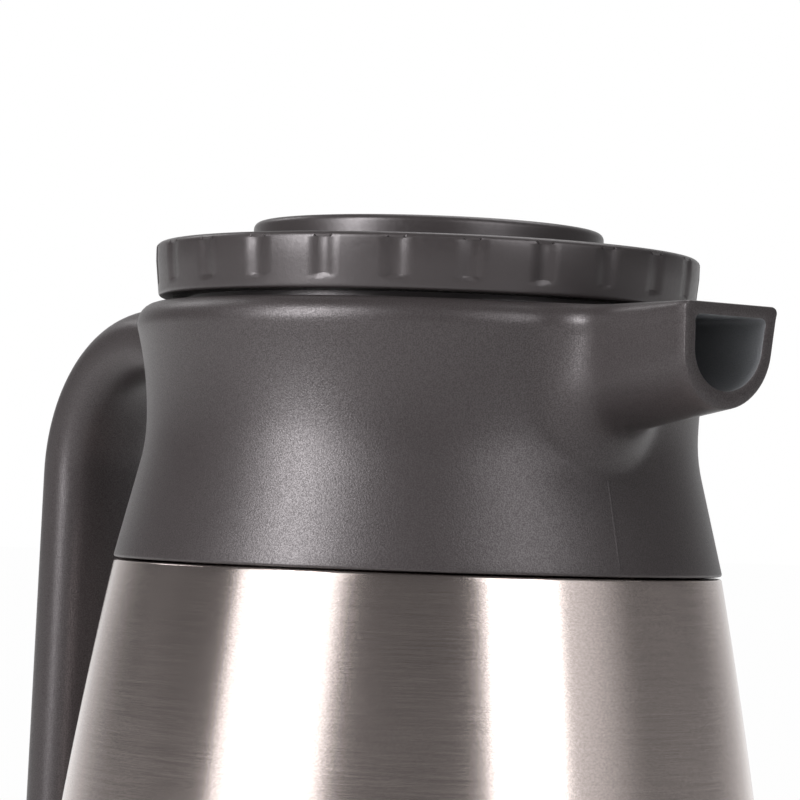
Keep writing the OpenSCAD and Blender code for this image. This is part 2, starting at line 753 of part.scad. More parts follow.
// Shallow grip pocket with a round foot, cut from outside
module pocket() {
    pocket_h = ring_h - pocket_foot - ring_edge_r;
    round_r = 0.8;
    translate([ring_r - ring_draft / 2 - pocket_depth, 0, ring_z + pocket_foot])
    rotate([90, 0, 90])
    linear_extrude(pocket_depth + ring_draft + overcut) union() {
        translate([-pocket_w / 2, round_r]) square([pocket_w, pocket_h - round_r]);
        translate([round_r - pocket_w / 2, 0]) square([pocket_w - 2 * round_r, pocket_h]);
        for (side = [-1, 1]) translate([side * (pocket_w / 2 - round_r), round_r]) circle(r = round_r);
    }
}

// Ears on the lid's deck that hold the hinge pin
module ears() {
    for (side = [-1, 1])
        translate([-hinge_back, side * (ear_y + ear_w / 2), hinge_z])
        rotate([90, 0, 0])
        linear_extrude(ear_w, center = true) union() {
            circle(r = knuckle_r);
            translate([-knuckle_r, ring_top - hinge_z - 0.6])
            square([2 * knuckle_r - 0.6, hinge_z - ring_top + 0.6]);
        }
}

module lid_screw_places() {
    for (i = [0 : lid_screw_count - 1])
        rotate([0, 0, 60 + 360 / lid_screw_count * i])
        translate([lid_screw_circle, 0, 0]) children();
}

// Turned plug: its skirt shuts the spout's channel until the window comes round
module stopper() {
    color(gloss_plastic)
    difference() {
        union() {
            translate([0, 0, ring_z]) cylinder(r = plate_r, h = plate_t);
            translate([0, 0, skirt_bottom]) cylinder(r = skirt_r, h = ring_z - skirt_bottom + plate_t / 2);
        }
        translate([0, 0, skirt_bottom + foot_flange_t])
        cylinder(r = skirt_r - skirt_t, h = ring_z - skirt_bottom - foot_flange_t);
        translate([0, 0, skirt_bottom - overcut])
        cylinder(r = foot_flange_r, h = foot_flange_t + 2 * overcut);
        translate([0, 0, ring_z - overcut]) cylinder(r = lid_hole_r, h = plate_t + 2 * overcut);
        difference() {
            translate([0, 0, seal_groove_z]) cylinder(r = skirt_r + overcut, h = seal_groove_h);
            translate([0, 0, seal_groove_z - overcut])
            cylinder(r = skirt_r - seal_groove_depth, h = seal_groove_h + 2 * overcut);
        }
        difference() {
            translate([0, 0, skirt_bottom - overcut])
            cylinder(r = stopper_seal_r + stopper_seal_w, h = overcut + stopper_seal_depth);
            translate([0, 0, skirt_bottom - 2 * overcut])
            cylinder(r = stopper_seal_r, h = stopper_seal_depth + 3 * overcut);
        }
        window();
        lid_screw_places() translate([0, 0, ring_z]) lid_screw_hole();
    }
}

module lid_screw_hole() {
    translate([0, 0, -overcut]) cylinder(r = head_r + seat_gap, h = overcut);
    cylinder(r1 = head_r + seat_gap, r2 = screw_r - 0.1, h = head_h + seat_gap);
    cylinder(r = screw_r - 0.1, h = plate_t + overcut);
}

// Pour window, at rest a quarter turn away from the spout
module window() {
    reach = well_r + 4;
    intersection() {
        difference() {
            translate([0, 0, window_foot]) cylinder(r = reach, h = window_top - window_foot);
            translate([0, 0, window_foot - overcut]) cylinder(r = skirt_r - window_depth, h = collar_h);
        }
        translate([0, 0, window_foot - overcut])
        linear_extrude(collar_h)
        polygon([[0, 0], [-reach * tan(window_half), -reach], [reach * tan(window_half), -reach]]);
    }
}

module stopper_seal() {
    color(silicone)
    translate([0, 0, well_z + seat_gap])
    difference() {
        cylinder(r = stopper_seal_r + stopper_seal_w - seat_gap,
            h = run_gap + stopper_seal_depth - 2 * seat_gap);
        translate([0, 0, -overcut])
        cylinder(r = stopper_seal_r + seat_gap, h = stopper_seal_depth + 3 * overcut);
    }
}

module lid_screws() {
    color(steel)
    lid_screw_places()
    translate([0, 0, ring_z + 0.05]) {
        cylinder(r1 = head_r, r2 = screw_r - 0.25, h = head_h);
        cylinder(r = screw_r - 0.25, h = ring_h - deck_t);
    }
}

// Drop-in funnel: a flat rim, a bowl and a tube down to the float ball
module brew_funnel() {
    foot = [tube_r, bowl_foot_z];
    side = [bowl_r + funnel_t, bowl_side_z];
    top = [bowl_r + funnel_t, rim_z];
    color(gloss_plastic)
    rotate_extrude() {
        polygon(wall(concat([[tube_r, tube_end]], corner([tube_r, tube_end], foot, side, 6),
            corner(foot, side, top, 5), [top]), funnel_t));
        translate([bowl_r, rim_z - rim_t]) square([funnel_r - bowl_r, rim_t]);
    }
}

module ball_cage() {
    slots = 4;
    slot_w = 6;
    slot_z = cage_z + cage_floor_t + 1;
    color(gloss_plastic)
    difference() {
        translate([0, 0, cage_z]) cylinder(r = cage_r, h = tube_end + cage_grip - cage_z);
        translate([0, 0, cage_z + cage_floor_t])
        cylinder(r = ball_r + run_gap, h = tube_end - cage_z - cage_floor_t);
        translate([0, 0, tube_end]) cylinder(r = tube_r + seat_gap, h = cage_grip + overcut);
        translate([0, 0, cage_z - overcut]) cylinder(r = ball_r / 2, h = cage_floor_t + 2 * overcut);
        for (i = [0 : slots / 2 - 1])
            rotate([0, 0, 45 + 360 / slots * i])
            translate([-cage_r - overcut, -slot_w / 2, slot_z])
            cube([2 * (cage_r + overcut), slot_w, tube_end - slot_z - 2]);
    }
}

module valve_ball() {
    color("ivory")
    translate([0, 0, ball_z]) sphere(r = ball_r);
}

// Round cap with a hinge knuckle at the back and a channel for its gasket
module flip_cap() {
    cap_path = concat([[cap_r, cap_foot]],
        corner([cap_r, cap_foot], [cap_r, cap_top], [0, cap_top], cap_edge_r),
        [[0, cap_top], [0, cap_top - cap_t], [gasket_r - 1.2, cap_top - cap_t],
        [gasket_r - 1.2, cap_foot + 0.6], [gasket_r - seat_gap, cap_foot + 0.6],
        [gasket_r - seat_gap, cap_foot + gasket_h], [gasket_r + gasket_w + seat_gap, cap_foot + gasket_h],
        [gasket_r + gasket_w + seat_gap, cap_top - cap_t],
        [cap_r - cap_t, cap_top - cap_t], [cap_r - cap_t, cap_foot]]);
    color(gloss_plastic)
    difference() {
        union() {
            difference() {
                rotate_extrude() polygon(cap_path);
                translate([-hinge_back - cap_r, -cap_r, ring_top]) cube([cap_r, 2 * cap_r, 2 * cap_h]);
                for (side = [-1, 1])
                    translate([-hinge_back, side * (ear_y + ear_w / 2), hinge_z]) rotate([90, 0, 0])
                    cylinder(r = knuckle_r + ear_gap, h = ear_w + 2 * ear_gap, center = true);
            }
            translate([-hinge_back, 0, hinge_z]) rotate([90, 0, 0])
            cylinder(r = knuckle_r, h = knuckle_w, center = true);
        }
        translate([-hinge_back, 0, hinge_z]) rotate([90, 0, 0])
        cylinder(r = pin_bore, h = knuckle_w + 2 * overcut, center = true);
    }
}

module cap_gasket() {
    color(silicone)
    translate([0, 0, rim_z + seat_gap])
    difference() {
        cylinder(r = gasket_r + gasket_w, h = cap_foot + gasket_h - rim_z - 2 * seat_gap);
        translate([0, 0, -overcut]) cylinder(r = gasket_r, h = cap_h);
    }
}

module hinge_pin() {
    color(steel)
    translate([-hinge_back, 0, hinge_z]) rotate([90, 0, 0])
    cylinder(r = pin_r, h = 2 * (ear_y + ear_w), center = true);
}

outer_shell();
inner_vessel();
shell_bottom();
getter();
base_cup();
foot_pad();
neck_band();
neck_gasket();
collar();
collar_screws();
handle();
handle_cover();
handle_bracket();
upper_handle_screws();
lower_handle_screw();
lid_seal();
grip_ring();
stopper();
stopper_seal();
lid_screws();
brew_funnel();
ball_cage();
valve_ball();
flip_cap();
cap_gasket();
hinge_pin();
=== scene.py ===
import json
import math

import bmesh
import bpy
from mathutils import Matrix, Vector


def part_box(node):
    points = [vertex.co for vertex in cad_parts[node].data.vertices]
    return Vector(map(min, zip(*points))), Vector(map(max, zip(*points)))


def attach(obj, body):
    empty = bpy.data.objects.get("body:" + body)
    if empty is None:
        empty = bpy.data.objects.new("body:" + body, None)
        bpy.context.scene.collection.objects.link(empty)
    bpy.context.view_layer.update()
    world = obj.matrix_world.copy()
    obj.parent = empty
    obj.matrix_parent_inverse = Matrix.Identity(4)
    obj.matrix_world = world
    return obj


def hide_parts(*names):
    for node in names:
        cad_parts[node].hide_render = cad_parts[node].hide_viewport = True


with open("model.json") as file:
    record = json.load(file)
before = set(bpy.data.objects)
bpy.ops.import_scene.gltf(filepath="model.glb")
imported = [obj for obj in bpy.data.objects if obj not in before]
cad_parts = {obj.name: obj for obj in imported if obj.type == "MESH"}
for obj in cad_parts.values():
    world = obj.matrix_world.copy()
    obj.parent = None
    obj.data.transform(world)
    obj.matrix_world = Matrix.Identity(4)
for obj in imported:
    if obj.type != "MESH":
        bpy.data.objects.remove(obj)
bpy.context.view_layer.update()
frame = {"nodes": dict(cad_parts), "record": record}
scene = bpy.context.scene
nodes = frame["nodes"]
mm = 0.001

view = {
    "place": (0.56971, -0.45643, 0.17767), "turn": (91.756, -1.963, 51.625), "lens": 155.09, "sensor": 36,
    "farthest": 50,
}

studio = {
    "front": -38.7, "diffuse": 0.56, "dark": 0.07, "fog": 1.0, "floorSize": 9.0,
    "aim": (0, 0, 0.15), "lampPower": 4, "glowFall": 2.0, "paperRough": 0.95, "paperGloss": 0.1,
    "floor": (0.56, 0.56, 0.555), "near": 0.55, "far": 0.99, "fadeStart": 0.35, "fadeEnd": 1.25,
    "leftBox": {"azimuth": -49.0, "height": 25, "away": 1.62, "width": 1.16, "tall": 1.2, "glow": 1.6},
    "leftCore": {"azimuth": -49.6, "height": 23, "away": 1.58, "width": 0.47, "tall": 1.25, "glow": 12.0},
    "rightBox": {"azimuth": 39.5, "height": 26, "away": 1.62, "width": 0.74, "tall": 1.1, "glow": 3.0},
    "topBox": {"azimuth": 150, "height": 62, "away": 1.8, "width": 1.4, "tall": 1.0, "glow": 1.8},
    "leftBack": {"azimuth": -130, "height": 38, "away": 1.7, "width": 0.5, "tall": 0.5, "glow": 2.6},
    "rightHaze": {"azimuth": 57, "height": 24, "start": 0.85, "end": 1.0, "level": 1.0},
    "backWall": {"azimuth": 180, "height": 4, "start": 0.46, "end": 1.03, "level": 0.9},
    "rightWall": {"azimuth": 92, "height": 10, "start": 0.35, "end": 1.0, "level": 0.09},
}


def makeCamera():
    camera = bpy.data.objects.new("camera", bpy.data.cameras.new("camera"))
    scene.collection.objects.link(camera)
    camera.location = view["place"]
    camera.rotation_euler = [math.radians(a) for a in view["turn"]]
    camera.data.lens = view["lens"]
    camera.data.sensor_width = view["sensor"]
    camera.data.clip_end = view["farthest"]
    scene.camera = camera


def wayTo(place):
    bearing, height = math.radians(studio["front"] + place["azimuth"]), math.radians(place["height"])
    level = math.cos(height)
    return Vector((math.cos(bearing) * level, math.sin(bearing) * level, math.sin(height)))


def makeLamp(name, lamp):
    light = bpy.data.lights.new(name, "AREA")
    light.shape = "RECTANGLE"
    light.size, light.size_y = lamp["width"], lamp["tall"]
    light.energy = studio["lampPower"] * lamp["glow"] * lamp["width"] * lamp["tall"]
    holder = bpy.data.objects.new(name, light)
    scene.collection.objects.link(holder)
    holder.location = Vector(studio["aim"]) + lamp["away"] * wayTo(lamp)
    holder.rotation_euler = wayTo(lamp).to_track_quat("Z", "Y").to_euler()


def maths(tree, kind, first, second=None, clamp=False):
    step = tree.nodes.new("ShaderNodeMath")
    step.operation, step.use_clamp = kind, clamp
    for socket, value in zip(step.inputs, (first, second)):
        if isinstance(value, (int, float)):
            socket.default_value = value
        elif value is not None:
            tree.links.new(value, socket)
    return step.outputs["Value"]


def showRays(tree):
    rays = tree.nodes.new("ShaderNodeLightPath")
    mirror = maths(tree, "ADD", rays.outputs["Is Glossy Ray"], rays.outputs["Is Transmission Ray"], True)
    return rays.outputs["Is Camera Ray"], mirror


def glowTowards(tree, directions, glow):
    along = tree.nodes.new("ShaderNodeVectorMath")
    along.operation = "DOT_PRODUCT"
    along.inputs[1].default_value = wayTo(glow)
    tree.links.new(directions, along.inputs[0])
    rise = tree.nodes.new("ShaderNodeMapRange")
    rise.inputs["From Min"].default_value = glow["start"]
    rise.inputs["From Max"].default_value = glow["end"]
    tree.links.new(along.outputs["Value"], rise.inputs["Value"])
    curve = maths(tree, "POWER", rise.outputs["Result"], studio["glowFall"])
    return maths(tree, "MULTIPLY", curve, glow["level"])


def makeWorld():
    world = bpy.data.worlds.new("studio")
    scene.world = world
    world.use_nodes = True
    tree = world.node_tree
    shade = tree.nodes["Background"]
    shade.inputs["Color"].default_value = (1, 1, 1, 1)
    place = tree.nodes.new("ShaderNodeTexCoord")
    camera, mirror = showRays(tree)
    walls = studio["dark"] - studio["diffuse"]
    for wall in ("rightHaze", "backWall", "rightWall"):
        walls = maths(tree, "ADD", glowTowards(tree, place.outputs["Generated"], studio[wall]), walls)
    walls = maths(tree, "MULTIPLY", walls, mirror)
    level = maths(tree, "ADD", maths(tree, "MULTIPLY", camera, studio["fog"] - studio["diffuse"]), walls)
    tree.links.new(maths(tree, "ADD", level, studio["diffuse"]), shade.inputs["Strength"])


def makeFloor():
    bm = bmesh.new()
    bmesh.ops.create_grid(bm, x_segments=1, y_segments=1, size=studio["floorSize"])
    mesh = bpy.data.meshes.new("floor")
    bm.to_mesh(mesh)
    bm.free()
    floor = bpy.data.objects.new("floor", mesh)
    scene.collection.objects.link(floor)
    paper = bpy.data.materials.new("paper")
    paper.use_nodes = True
    tree = paper.node_tree
    shade, output = tree.nodes["Principled BSDF"], tree.nodes["Material Output"]
    shade.inputs["Base Color"].default_value = (*studio["floor"], 1)
    shade.inputs["Roughness"].default_value = studio["paperRough"]
    shade.inputs["Specular IOR Level"].default_value = studio["paperGloss"]

    # the camera sees the paper turn white away from the object, the metal sees it white only behind
    place = tree.nodes.new("ShaderNodeTexCoord")
    away, behind = tree.nodes.new("ShaderNodeVectorMath"), tree.nodes.new("ShaderNodeVectorMath")
    away.operation, behind.operation = "LENGTH", "DOT_PRODUCT"
    behind.inputs[1].default_value = wayTo(studio["backWall"])
    tree.links.new(place.outputs["Object"], away.inputs[0])
    tree.links.new(place.outputs["Object"], behind.inputs[0])
    camera, mirror = showRays(tree)
    fades = ((away, studio["fadeStart"], studio["near"], camera), (behind, 0.0, 0.0, mirror))
    shares = []
    for distance, start, low, rays in fades:
        fade = tree.nodes.new("ShaderNodeMapRange")
        fade.interpolation_type = "SMOOTHSTEP"
        fade.inputs["From Min"].default_value = start
        fade.inputs["From Max"].default_value = studio["fadeEnd"]
        fade.inputs["To Min"].default_value = low
        fade.inputs["To Max"].default_value = 1.0
        tree.links.new(distance.outputs["Value"], fade.inputs["Value"])
        shares.append(maths(tree, "MULTIPLY", fade.outputs["Result"], rays))
    white, blend = tree.nodes.new("ShaderNodeEmission"), tree.nodes.new("ShaderNodeMixShader")
    white.inputs["Strength"].default_value = studio["far"]
    tree.links.new(maths(tree, "ADD", shares[0], shares[1], True), blend.inputs["Fac"])
    tree.links.new(shade.outputs["BSDF"], blend.inputs[1])
    tree.links.new(white.outputs["Emission"], blend.inputs[2])
    tree.links.new(blend.outputs["Shader"], output.inputs["Surface"])
    mesh.materials.append(paper)


scene.view_settings.view_transform = "Standard"
makeCamera()
makeWorld()
makeFloor()
for lampName in ("leftBox", "leftCore", "rightBox", "topBox", "leftBack"):
    makeLamp(lampName, studio[lampName])
print("studio ready")


def newFinish(name):
    finish = bpy.data.materials.new(name)
    finish.use_nodes = True
    return finish, finish.node_tree, finish.node_tree.nodes["Principled BSDF"]


def grain(tree, size, detail=2.0, stretch=(1, 1, 1), rough=0.5):
    place = tree.nodes.new("ShaderNodeTexCoord")
    mapping = tree.nodes.new("ShaderNodeMapping")
    noise = tree.nodes.new("ShaderNodeTexNoise")
    mapping.inputs["Scale"].default_value = stretch
    noise.inputs["Scale"].default_value = 1 / size
    noise.inputs["Detail"].default_value = detail
    noise.inputs["Roughness"].default_value = rough
    tree.links.new(place.outputs["Object"], mapping.inputs["Vector"])
    tree.links.new(mapping.outputs["Vector"], noise.inputs["Vector"])
    return noise.outputs["Fac"]


noiseBand = (0.3, 0.7)   # where nearly all of a noise's values lie


def levels(tree, value, low=0.0, high=1.0):
    span = tree.nodes.new("ShaderNodeMapRange")
    span.inputs["From Min"].default_value = noiseBand[0]
    span.inputs["From Max"].default_value = noiseBand[1]
    span.inputs["To Min"].default_value = low
    span.inputs["To Max"].default_value = high
    tree.links.new(value, span.inputs["Value"])
    return span.outputs["Result"]


def spread(tree, value, low, high, target):
    tree.links.new(levels(tree, value, low, high), target)


def tint(tree, value, first, second, target=None):
    blend = tree.nodes.new("ShaderNodeMix")
    blend.data_type = "RGBA"
    tree.links.new(value, blend.inputs[0])
    for socket, colour in ((blend.inputs[6], first), (blend.inputs[7], second)):
        if isinstance(colour, tuple):
            socket.default_value = (*colour, 1)
        else:
            tree.links.new(colour, socket)
    if target:
        tree.links.new(blend.outputs[2], target)
    return blend.outputs[2]


def relief(tree, shade, layers):
    below = None
    for value, distance, strength in layers:
        bump = tree.nodes.new("ShaderNodeBump")
        bump.inputs["Distance"].default_value = distance
        bump.inputs["Strength"].default_value = strength
        tree.links.new(value, bump.inputs["Height"])
        if below:
            tree.links.new(below, bump.inputs["Normal"])
        below = bump.outputs["Normal"]
    tree.links.new(below, shade.inputs["Normal"])


plasticSheen = (1.0, 0.94, 0.97, 1)

# the third colour is painted light: a pale grey for the inside of the spout's channel, standing in for light
# that its shade keeps out
textured = {
    "dark": (0.024, 0.0203, 0.0206), "pale": (0.030, 0.0256, 0.0260), "paintedChannelLight": (0.17, 0.175, 0.185),
    "fineGrain": 0.00032, "broadGrain": 0.02, "speckGrain": 0.00026, "rough": (0.34, 0.42),
    "gloss": (0.36, 0.74), "fineRelief": (0.00007, 0.5), "broadRelief": (0.0004, 0.06),
}


def texturedPlastic():
    finish, tree, shade = newFinish("texturedPlastic")
    fine, broad = grain(tree, textured["fineGrain"], 1.0), grain(tree, textured["broadGrain"])
    # faces that the collar marks get the pale grey instead of the plastic's own colour: painted light lifting
    # the shade in the spout's channel
    paintedChannelLight = tree.nodes.new("ShaderNodeAttribute")
    paintedChannelLight.attribute_name = "paintedChannelLight"
    skin = tint(tree, broad, textured["dark"], textured["pale"])
    tint(tree, paintedChannelLight.outputs["Fac"], skin, textured["paintedChannelLight"], shade.inputs["Base Color"])
    spread(tree, fine, *textured["rough"], shade.inputs["Roughness"])
    # the moulded speckle is a change of gloss, not of height
    speck = grain(tree, textured["speckGrain"], 0.0)
    spread(tree, speck, *textured["gloss"], shade.inputs["Specular IOR Level"])
    shade.inputs["Specular Tint"].default_value = plasticSheen
    relief(tree, shade, [(fine, *textured["fineRelief"]), (broad, *textured["broadRelief"])])
    return finish


satin = {
    "dark": (0.024, 0.0205, 0.0209), "pale": (0.030, 0.0259, 0.0263), "fineGrain": 0.0009,
    "broadGrain": 0.018, "rough": (0.30, 0.37), "gloss": 0.55, "fineRelief": (0.00003, 0.6),
    "broadRelief": (0.0003, 0.1),
}


def satinPlastic(name="satinPlastic", dark=satin["dark"], pale=satin["pale"]):
    finish, tree, shade = newFinish(name)
    fine, broad = grain(tree, satin["fineGrain"]), grain(tree, satin["broadGrain"])
    tint(tree, broad, dark, pale, shade.inputs["Base Color"])
    spread(tree, fine, *satin["rough"], shade.inputs["Roughness"])
    shade.inputs["Specular IOR Level"].default_value = satin["gloss"]
    shade.inputs["Specular Tint"].default_value = plasticSheen
    relief(tree, shade, [(fine, *satin["fineRelief"]), (broad, *satin["broadRelief"])])
    return finish


steel = {
    "deep": ((0.565, 0.492, 0.468), (0.605, 0.527, 0.502)),
    "bright": ((0.675, 0.588, 0.560), (0.715, 0.623, 0.594)),
    "streakDetail": 4.0, "streakRough": 0.6, "speckGrain": 0.0006, "speckStretch": (1, 1, 2.0),
    "rough": (0.22, 0.27), "streakRelief": (0.00001, 0.45), "speckRelief": (0.00001, 0.5),
    "anisotropy": 0.85, "brushTurn": 0.25,
}


def brushedSteel(name, uvName=None, stretch=(1, 1, 90), size=0.016):
    finish, tree, shade = newFinish(name)
    streaks = grain(tree, size, steel["streakDetail"], stretch, steel["streakRough"])
    specks = grain(tree, steel["speckGrain"], 1.0, steel["speckStretch"])
    deep = tint(tree, levels(tree, streaks), *steel["deep"])
    bright = tint(tree, levels(tree, streaks), *steel["bright"])
    tint(tree, levels(tree, specks), deep, bright, shade.inputs["Base Color"])
    shade.inputs["Metallic"].default_value = 1.0
    spread(tree, streaks, *steel["rough"], shade.inputs["Roughness"])
    relief(tree, shade, [(streaks, *steel["streakRelief"]), (specks, *steel["speckRelief"])])
    if uvName:
        along = tree.nodes.new("ShaderNodeTangent")
        along.direction_type = "UV_MAP"
        along.uv_map = uvName
        shade.inputs["Anisotropic"].default_value = steel["anisotropy"]
        shade.inputs["Anisotropic Rotation"].default_value = steel["brushTurn"]
        tree.links.new(along.outputs["Tangent"], shade.inputs["Tangent"])
    return finish


rubber = {"fineGrain": 0.0008, "broadGrain": 0.01, "roughSpread": 0.06, "relief": (0.00005, 0.4)}


def softRubber(name, dark, pale, roughness):
    finish, tree, shade = newFinish(name)
    fine, broad = grain(tree, rubber["fineGrain"]), grain(tree, rubber["broadGrain"])
    tint(tree, broad, dark, pale, shade.inputs["Base Color"])
    spread(tree, fine, roughness - rubber["roughSpread"], roughness + rubber["roughSpread"],
           shade.inputs["Roughness"])
    relief(tree, shade, [(fine, *rubber["relief"])])
    return finish


finishes = {
    "textured_plastic": texturedPlastic(),
    "satin_plastic": satinPlastic(),
    "brushed_shell": brushedSteel("brushedShell", "around"),
    "vessel_steel": brushedSteel("vesselSteel"),
    "screw_steel": brushedSteel("screwSteel", None, (1, 1, 1), 0.002),
    "getter_grey": softRubber("getterGrey", (0.13, 0.13, 0.13), (0.19, 0.19, 0.19), 0.7),
    "pad_rubber": softRubber("padRubber", (0.022, 0.022, 0.022), (0.032, 0.032, 0.032), 0.7),
    "seal_silicone": softRubber("sealSilicone", (0.66, 0.66, 0.64), (0.74, 0.74, 0.72), 0.45),
    "ball_plastic": satinPlastic("ballPlastic", (0.76, 0.74, 0.68), (0.80, 0.79, 0.74)),
}
print("finishes ready")

weldGap = 1e-4     # mm, points nearer than this are one
thinEdge = 1e-5    # mm, shorter edges are dropped
uvTall = 0.5       # m of height for one unit of the brushed wall's map


def arc(centre, radius, start, end, steps, first=0):
    angles = [math.radians(start + (end - start) * i / steps) for i in range(first, steps + 1)]
    return [(centre[0] + radius * math.cos(a), centre[1] + radius * math.sin(a)) for a in angles]


def line(start, end, steps):
    return [(start[0] + (end[0] - start[0]) * i / steps, start[1] + (end[1] - start[1]) * i / steps)
            for i in range(1, steps)]


def rounded(before, corner, after, radius, steps=5):
    a, c, b = Vector(before), Vector(corner), Vector(after)
    u, v = (a - c).normalized(), (b - c).normalized()
    half = u.angle(v) / 2
    centre = c + (u + v).normalized() * radius / math.sin(half)
    start, end = c + u * radius / math.tan(half), c + v * radius / math.tan(half)
    first = math.atan2(*(start - centre).yx)
    turn = (math.atan2(*(end - centre).yx) - first + math.pi) % math.tau - math.pi
    angles = [first + turn * i / steps for i in range(steps + 1)]
    return [tuple(centre + radius * Vector((math.cos(angle), math.sin(angle)))) for angle in angles]


def turnProfile(bm, points, steps, closed=True):
    verts = [bm.verts.new((r, 0, z)) for r, z in points]
    pairs = list(zip(verts, verts[1:])) + ([(verts[-1], verts[0])] if closed else [])
    edges = [bm.edges.new(pair) for pair in pairs]
    bmesh.ops.spin(bm, geom=verts + edges, axis=(0, 0, 1), cent=(0, 0, 0), angle=math.tau, steps=steps,
                   use_merge=True)
    bmesh.ops.remove_doubles(bm, verts=bm.verts, dist=weldGap)
    bmesh.ops.dissolve_degenerate(bm, edges=bm.edges, dist=thinEdge)


def allOf(faces):
    return faces + list({e for f in faces for e in f.edges}) + list({v for f in faces for v in f.verts})


def finishPiece(name, bm, body, slot, replaced=(), sharp=35, uv=None):
    bmesh.ops.recalc_face_normals(bm, faces=bm.faces)
    bmesh.ops.scale(bm, vec=(mm, mm, mm), verts=bm.verts)
    mesh = bpy.data.meshes.new(name)
    if uv:
        wrapAround(bm, uv)
    bm.to_mesh(mesh)
    bm.free()
    mesh.shade_smooth()
    mesh.set_sharp_from_angle(angle=math.radians(sharp))
    mesh.materials.append(finishes[slot])
    piece = bpy.data.objects.new(name, mesh)
    scene.collection.objects.link(piece)
    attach(piece, body)
    if replaced:
        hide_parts(*replaced)
    print("made", name, len(mesh.polygons))
    return piece


def wrapAround(bm, name):
    layer = bm.loops.layers.uv.new(name)
    for face in bm.faces:
        middle = face.calc_center_median()
        centre = math.atan2(middle.y, middle.x)
        for loop in face.loops:
            co = loop.vert.co
            turn = (math.atan2(co.y, co.x) - centre + math.pi) % math.tau - math.pi
            loop[layer].uv = ((centre + turn) / math.tau, co.z / uvTall)


def carve(piece, cutters, way="DIFFERENCE"):
    for bm in cutters:
        bm.normal_update()
        bmesh.ops.recalc_face_normals(bm, faces=bm.faces)
        bmesh.ops.scale(bm, vec=(mm, mm, mm), verts=bm.verts)
        mesh = bpy.data.meshes.new("cutter")
        bm.to_mesh(mesh)
        bm.free()
        cutter = bpy.data.objects.new("cutter", mesh)
        scene.collection.objects.link(cutter)
        cut = piece.modifiers.new("cut", "BOOLEAN")
        cut.operation, cut.solver, cut.object = way, "EXACT", cutter
        bpy.context.view_layer.update()
        result = bpy.data.meshes.new_from_object(piece.evaluated_get(bpy.context.evaluated_depsgraph_get()))
        piece.modifiers.remove(cut)
        old = piece.data
        piece.data = result
        result.name = piece.name
        bpy.data.meshes.remove(old)
        bpy.data.objects.remove(cutter)
        bpy.data.meshes.remove(mesh)


collar = {
    "foot": 165.0, "top": 218.6, "waistR": 58.25, "waistZ": 193.6, "flare": 13.9, "lowerArc": 35.0,
    "upperArc": 75.0, "edge": 4.4, "footRound": 0.5, "wall": 2.6, "wellR": 51.0, "wellWall": 2.2,
    "floorZ": 189.0, "wellZ": 192.0, "leadIn": 1.0, "holeR": 41.0, "columns": 144, "topEdge": 1.5,
    "trim": 0.5, "wellRows": [192.0, 195.1, 197.8, 200.5, 203.2, 205.9, 208.6, 211.3, 213.9, 216.3],
    "windowHalf": 10.1, "windowZ": (195, 216.5), "skinStart": 1.3,
    "footSteps": 4, "slopeRows": 9, "waistRows": 5, "upperRows": 9,
    "settle": {"times": 60, "azimuth": 55, "foot": 3, "edge": 1.5},
    "floorScrew": {"r": 47.6, "z": 191.4, "radii": (1.65, 2.75), "depth": 1.3},
    "wallScrew": {"x": -50.5, "y": 6, "z": 205, "radius": 2.95, "depth": 1.4},
}
flareTan = math.tan(math.radians(collar["flare"]))
flareStart = collar["waistZ"] - collar["lowerArc"] * math.sin(math.radians(collar["flare"]))
flareStartR = collar["waistR"] + collar["lowerArc"] * (1 - math.cos(math.radians(collar["flare"])))
collarFootR = flareStartR + (flareStart - collar["foot"]) * flareTan
collarFootInR = collarFootR - collar["wall"] / math.cos(math.radians(collar["flare"]))

shell = {
    "flare": 11.3, "sweep": 1145.0, "overhang": 0.3, "wall": 0.8, "stepIn": 1.8, "stepEdge": 0.2,
    "stepZ": 12.0, "footZ": 3.0, "wallStart": 0.3, "wallTrim": 2.3, "wallRows": 30, "shoulderZ": 164.55,
    "seatR": 60.6, "seatRise": 0.05, "slope": 27.0, "neckR": 44.0, "neckRound": 4, "lipZ": 187.0,
    "lipDrop": 0.7, "round": 0.6, "roundSteps": 6, "steps": 192,
}


def shellR(z):
    drop = collar["foot"] - z
    return (collarFootR - shell["overhang"] + math.tan(math.radians(shell["flare"])) * drop
            - drop * drop / (2 * shell["sweep"]))


def makeShell():
    low, high = shell["stepZ"], shell["shoulderZ"]
    foot = shellR(low) - shell["stepIn"]
    seat = (shell["seatR"], high + shell["seatRise"])
    rise = (seat[0] - shell["neckR"]) * math.tan(math.radians(shell["slope"]))
    shoulder, neck = (shell["neckR"], seat[1] + rise), (shell["neckR"], shell["lipZ"])
    heights = [low + shell["wallStart"] + (high - shell["wallTrim"] - low) * i / shell["wallRows"]
               for i in range(shell["wallRows"] + 1)]
    side = [(shellR(z), z) for z in heights]
    points = [(foot, shell["footZ"]), (foot, low - shell["stepIn"])]
    points += [(shellR(low) - shell["stepEdge"], low)] + side
    points += rounded(side[-1], (shellR(high), high), seat, shell["round"], shell["roundSteps"]) + [seat]
    points += rounded(seat, shoulder, neck, shell["neckRound"], shell["roundSteps"])
    points += [(shell["neckR"], shell["lipZ"] - shell["lipDrop"])]
    bm = bmesh.new()
    turnProfile(bm, points, shell["steps"], closed=False)
    piece = finishPiece("steelShell", bm, "carafe", "brushed_shell", ["outer_shell"], 30, "around")
    solid = piece.modifiers.new("wall", "SOLIDIFY")
    solid.thickness = shell["wall"] * mm
    solid.offset = -1
    solid.use_even_offset = True


makeShell()


base = {
    "padR": 74.15, "padZ": 2, "footZ": 0.8, "edge": 2.6, "edgeSteps": 8, "rimZ": (11.55, 11.85), "rimIn": 0.3,
    "seatZ": 10.05, "wall": 1.65, "floorZ": 2.85, "steps": 192,
}


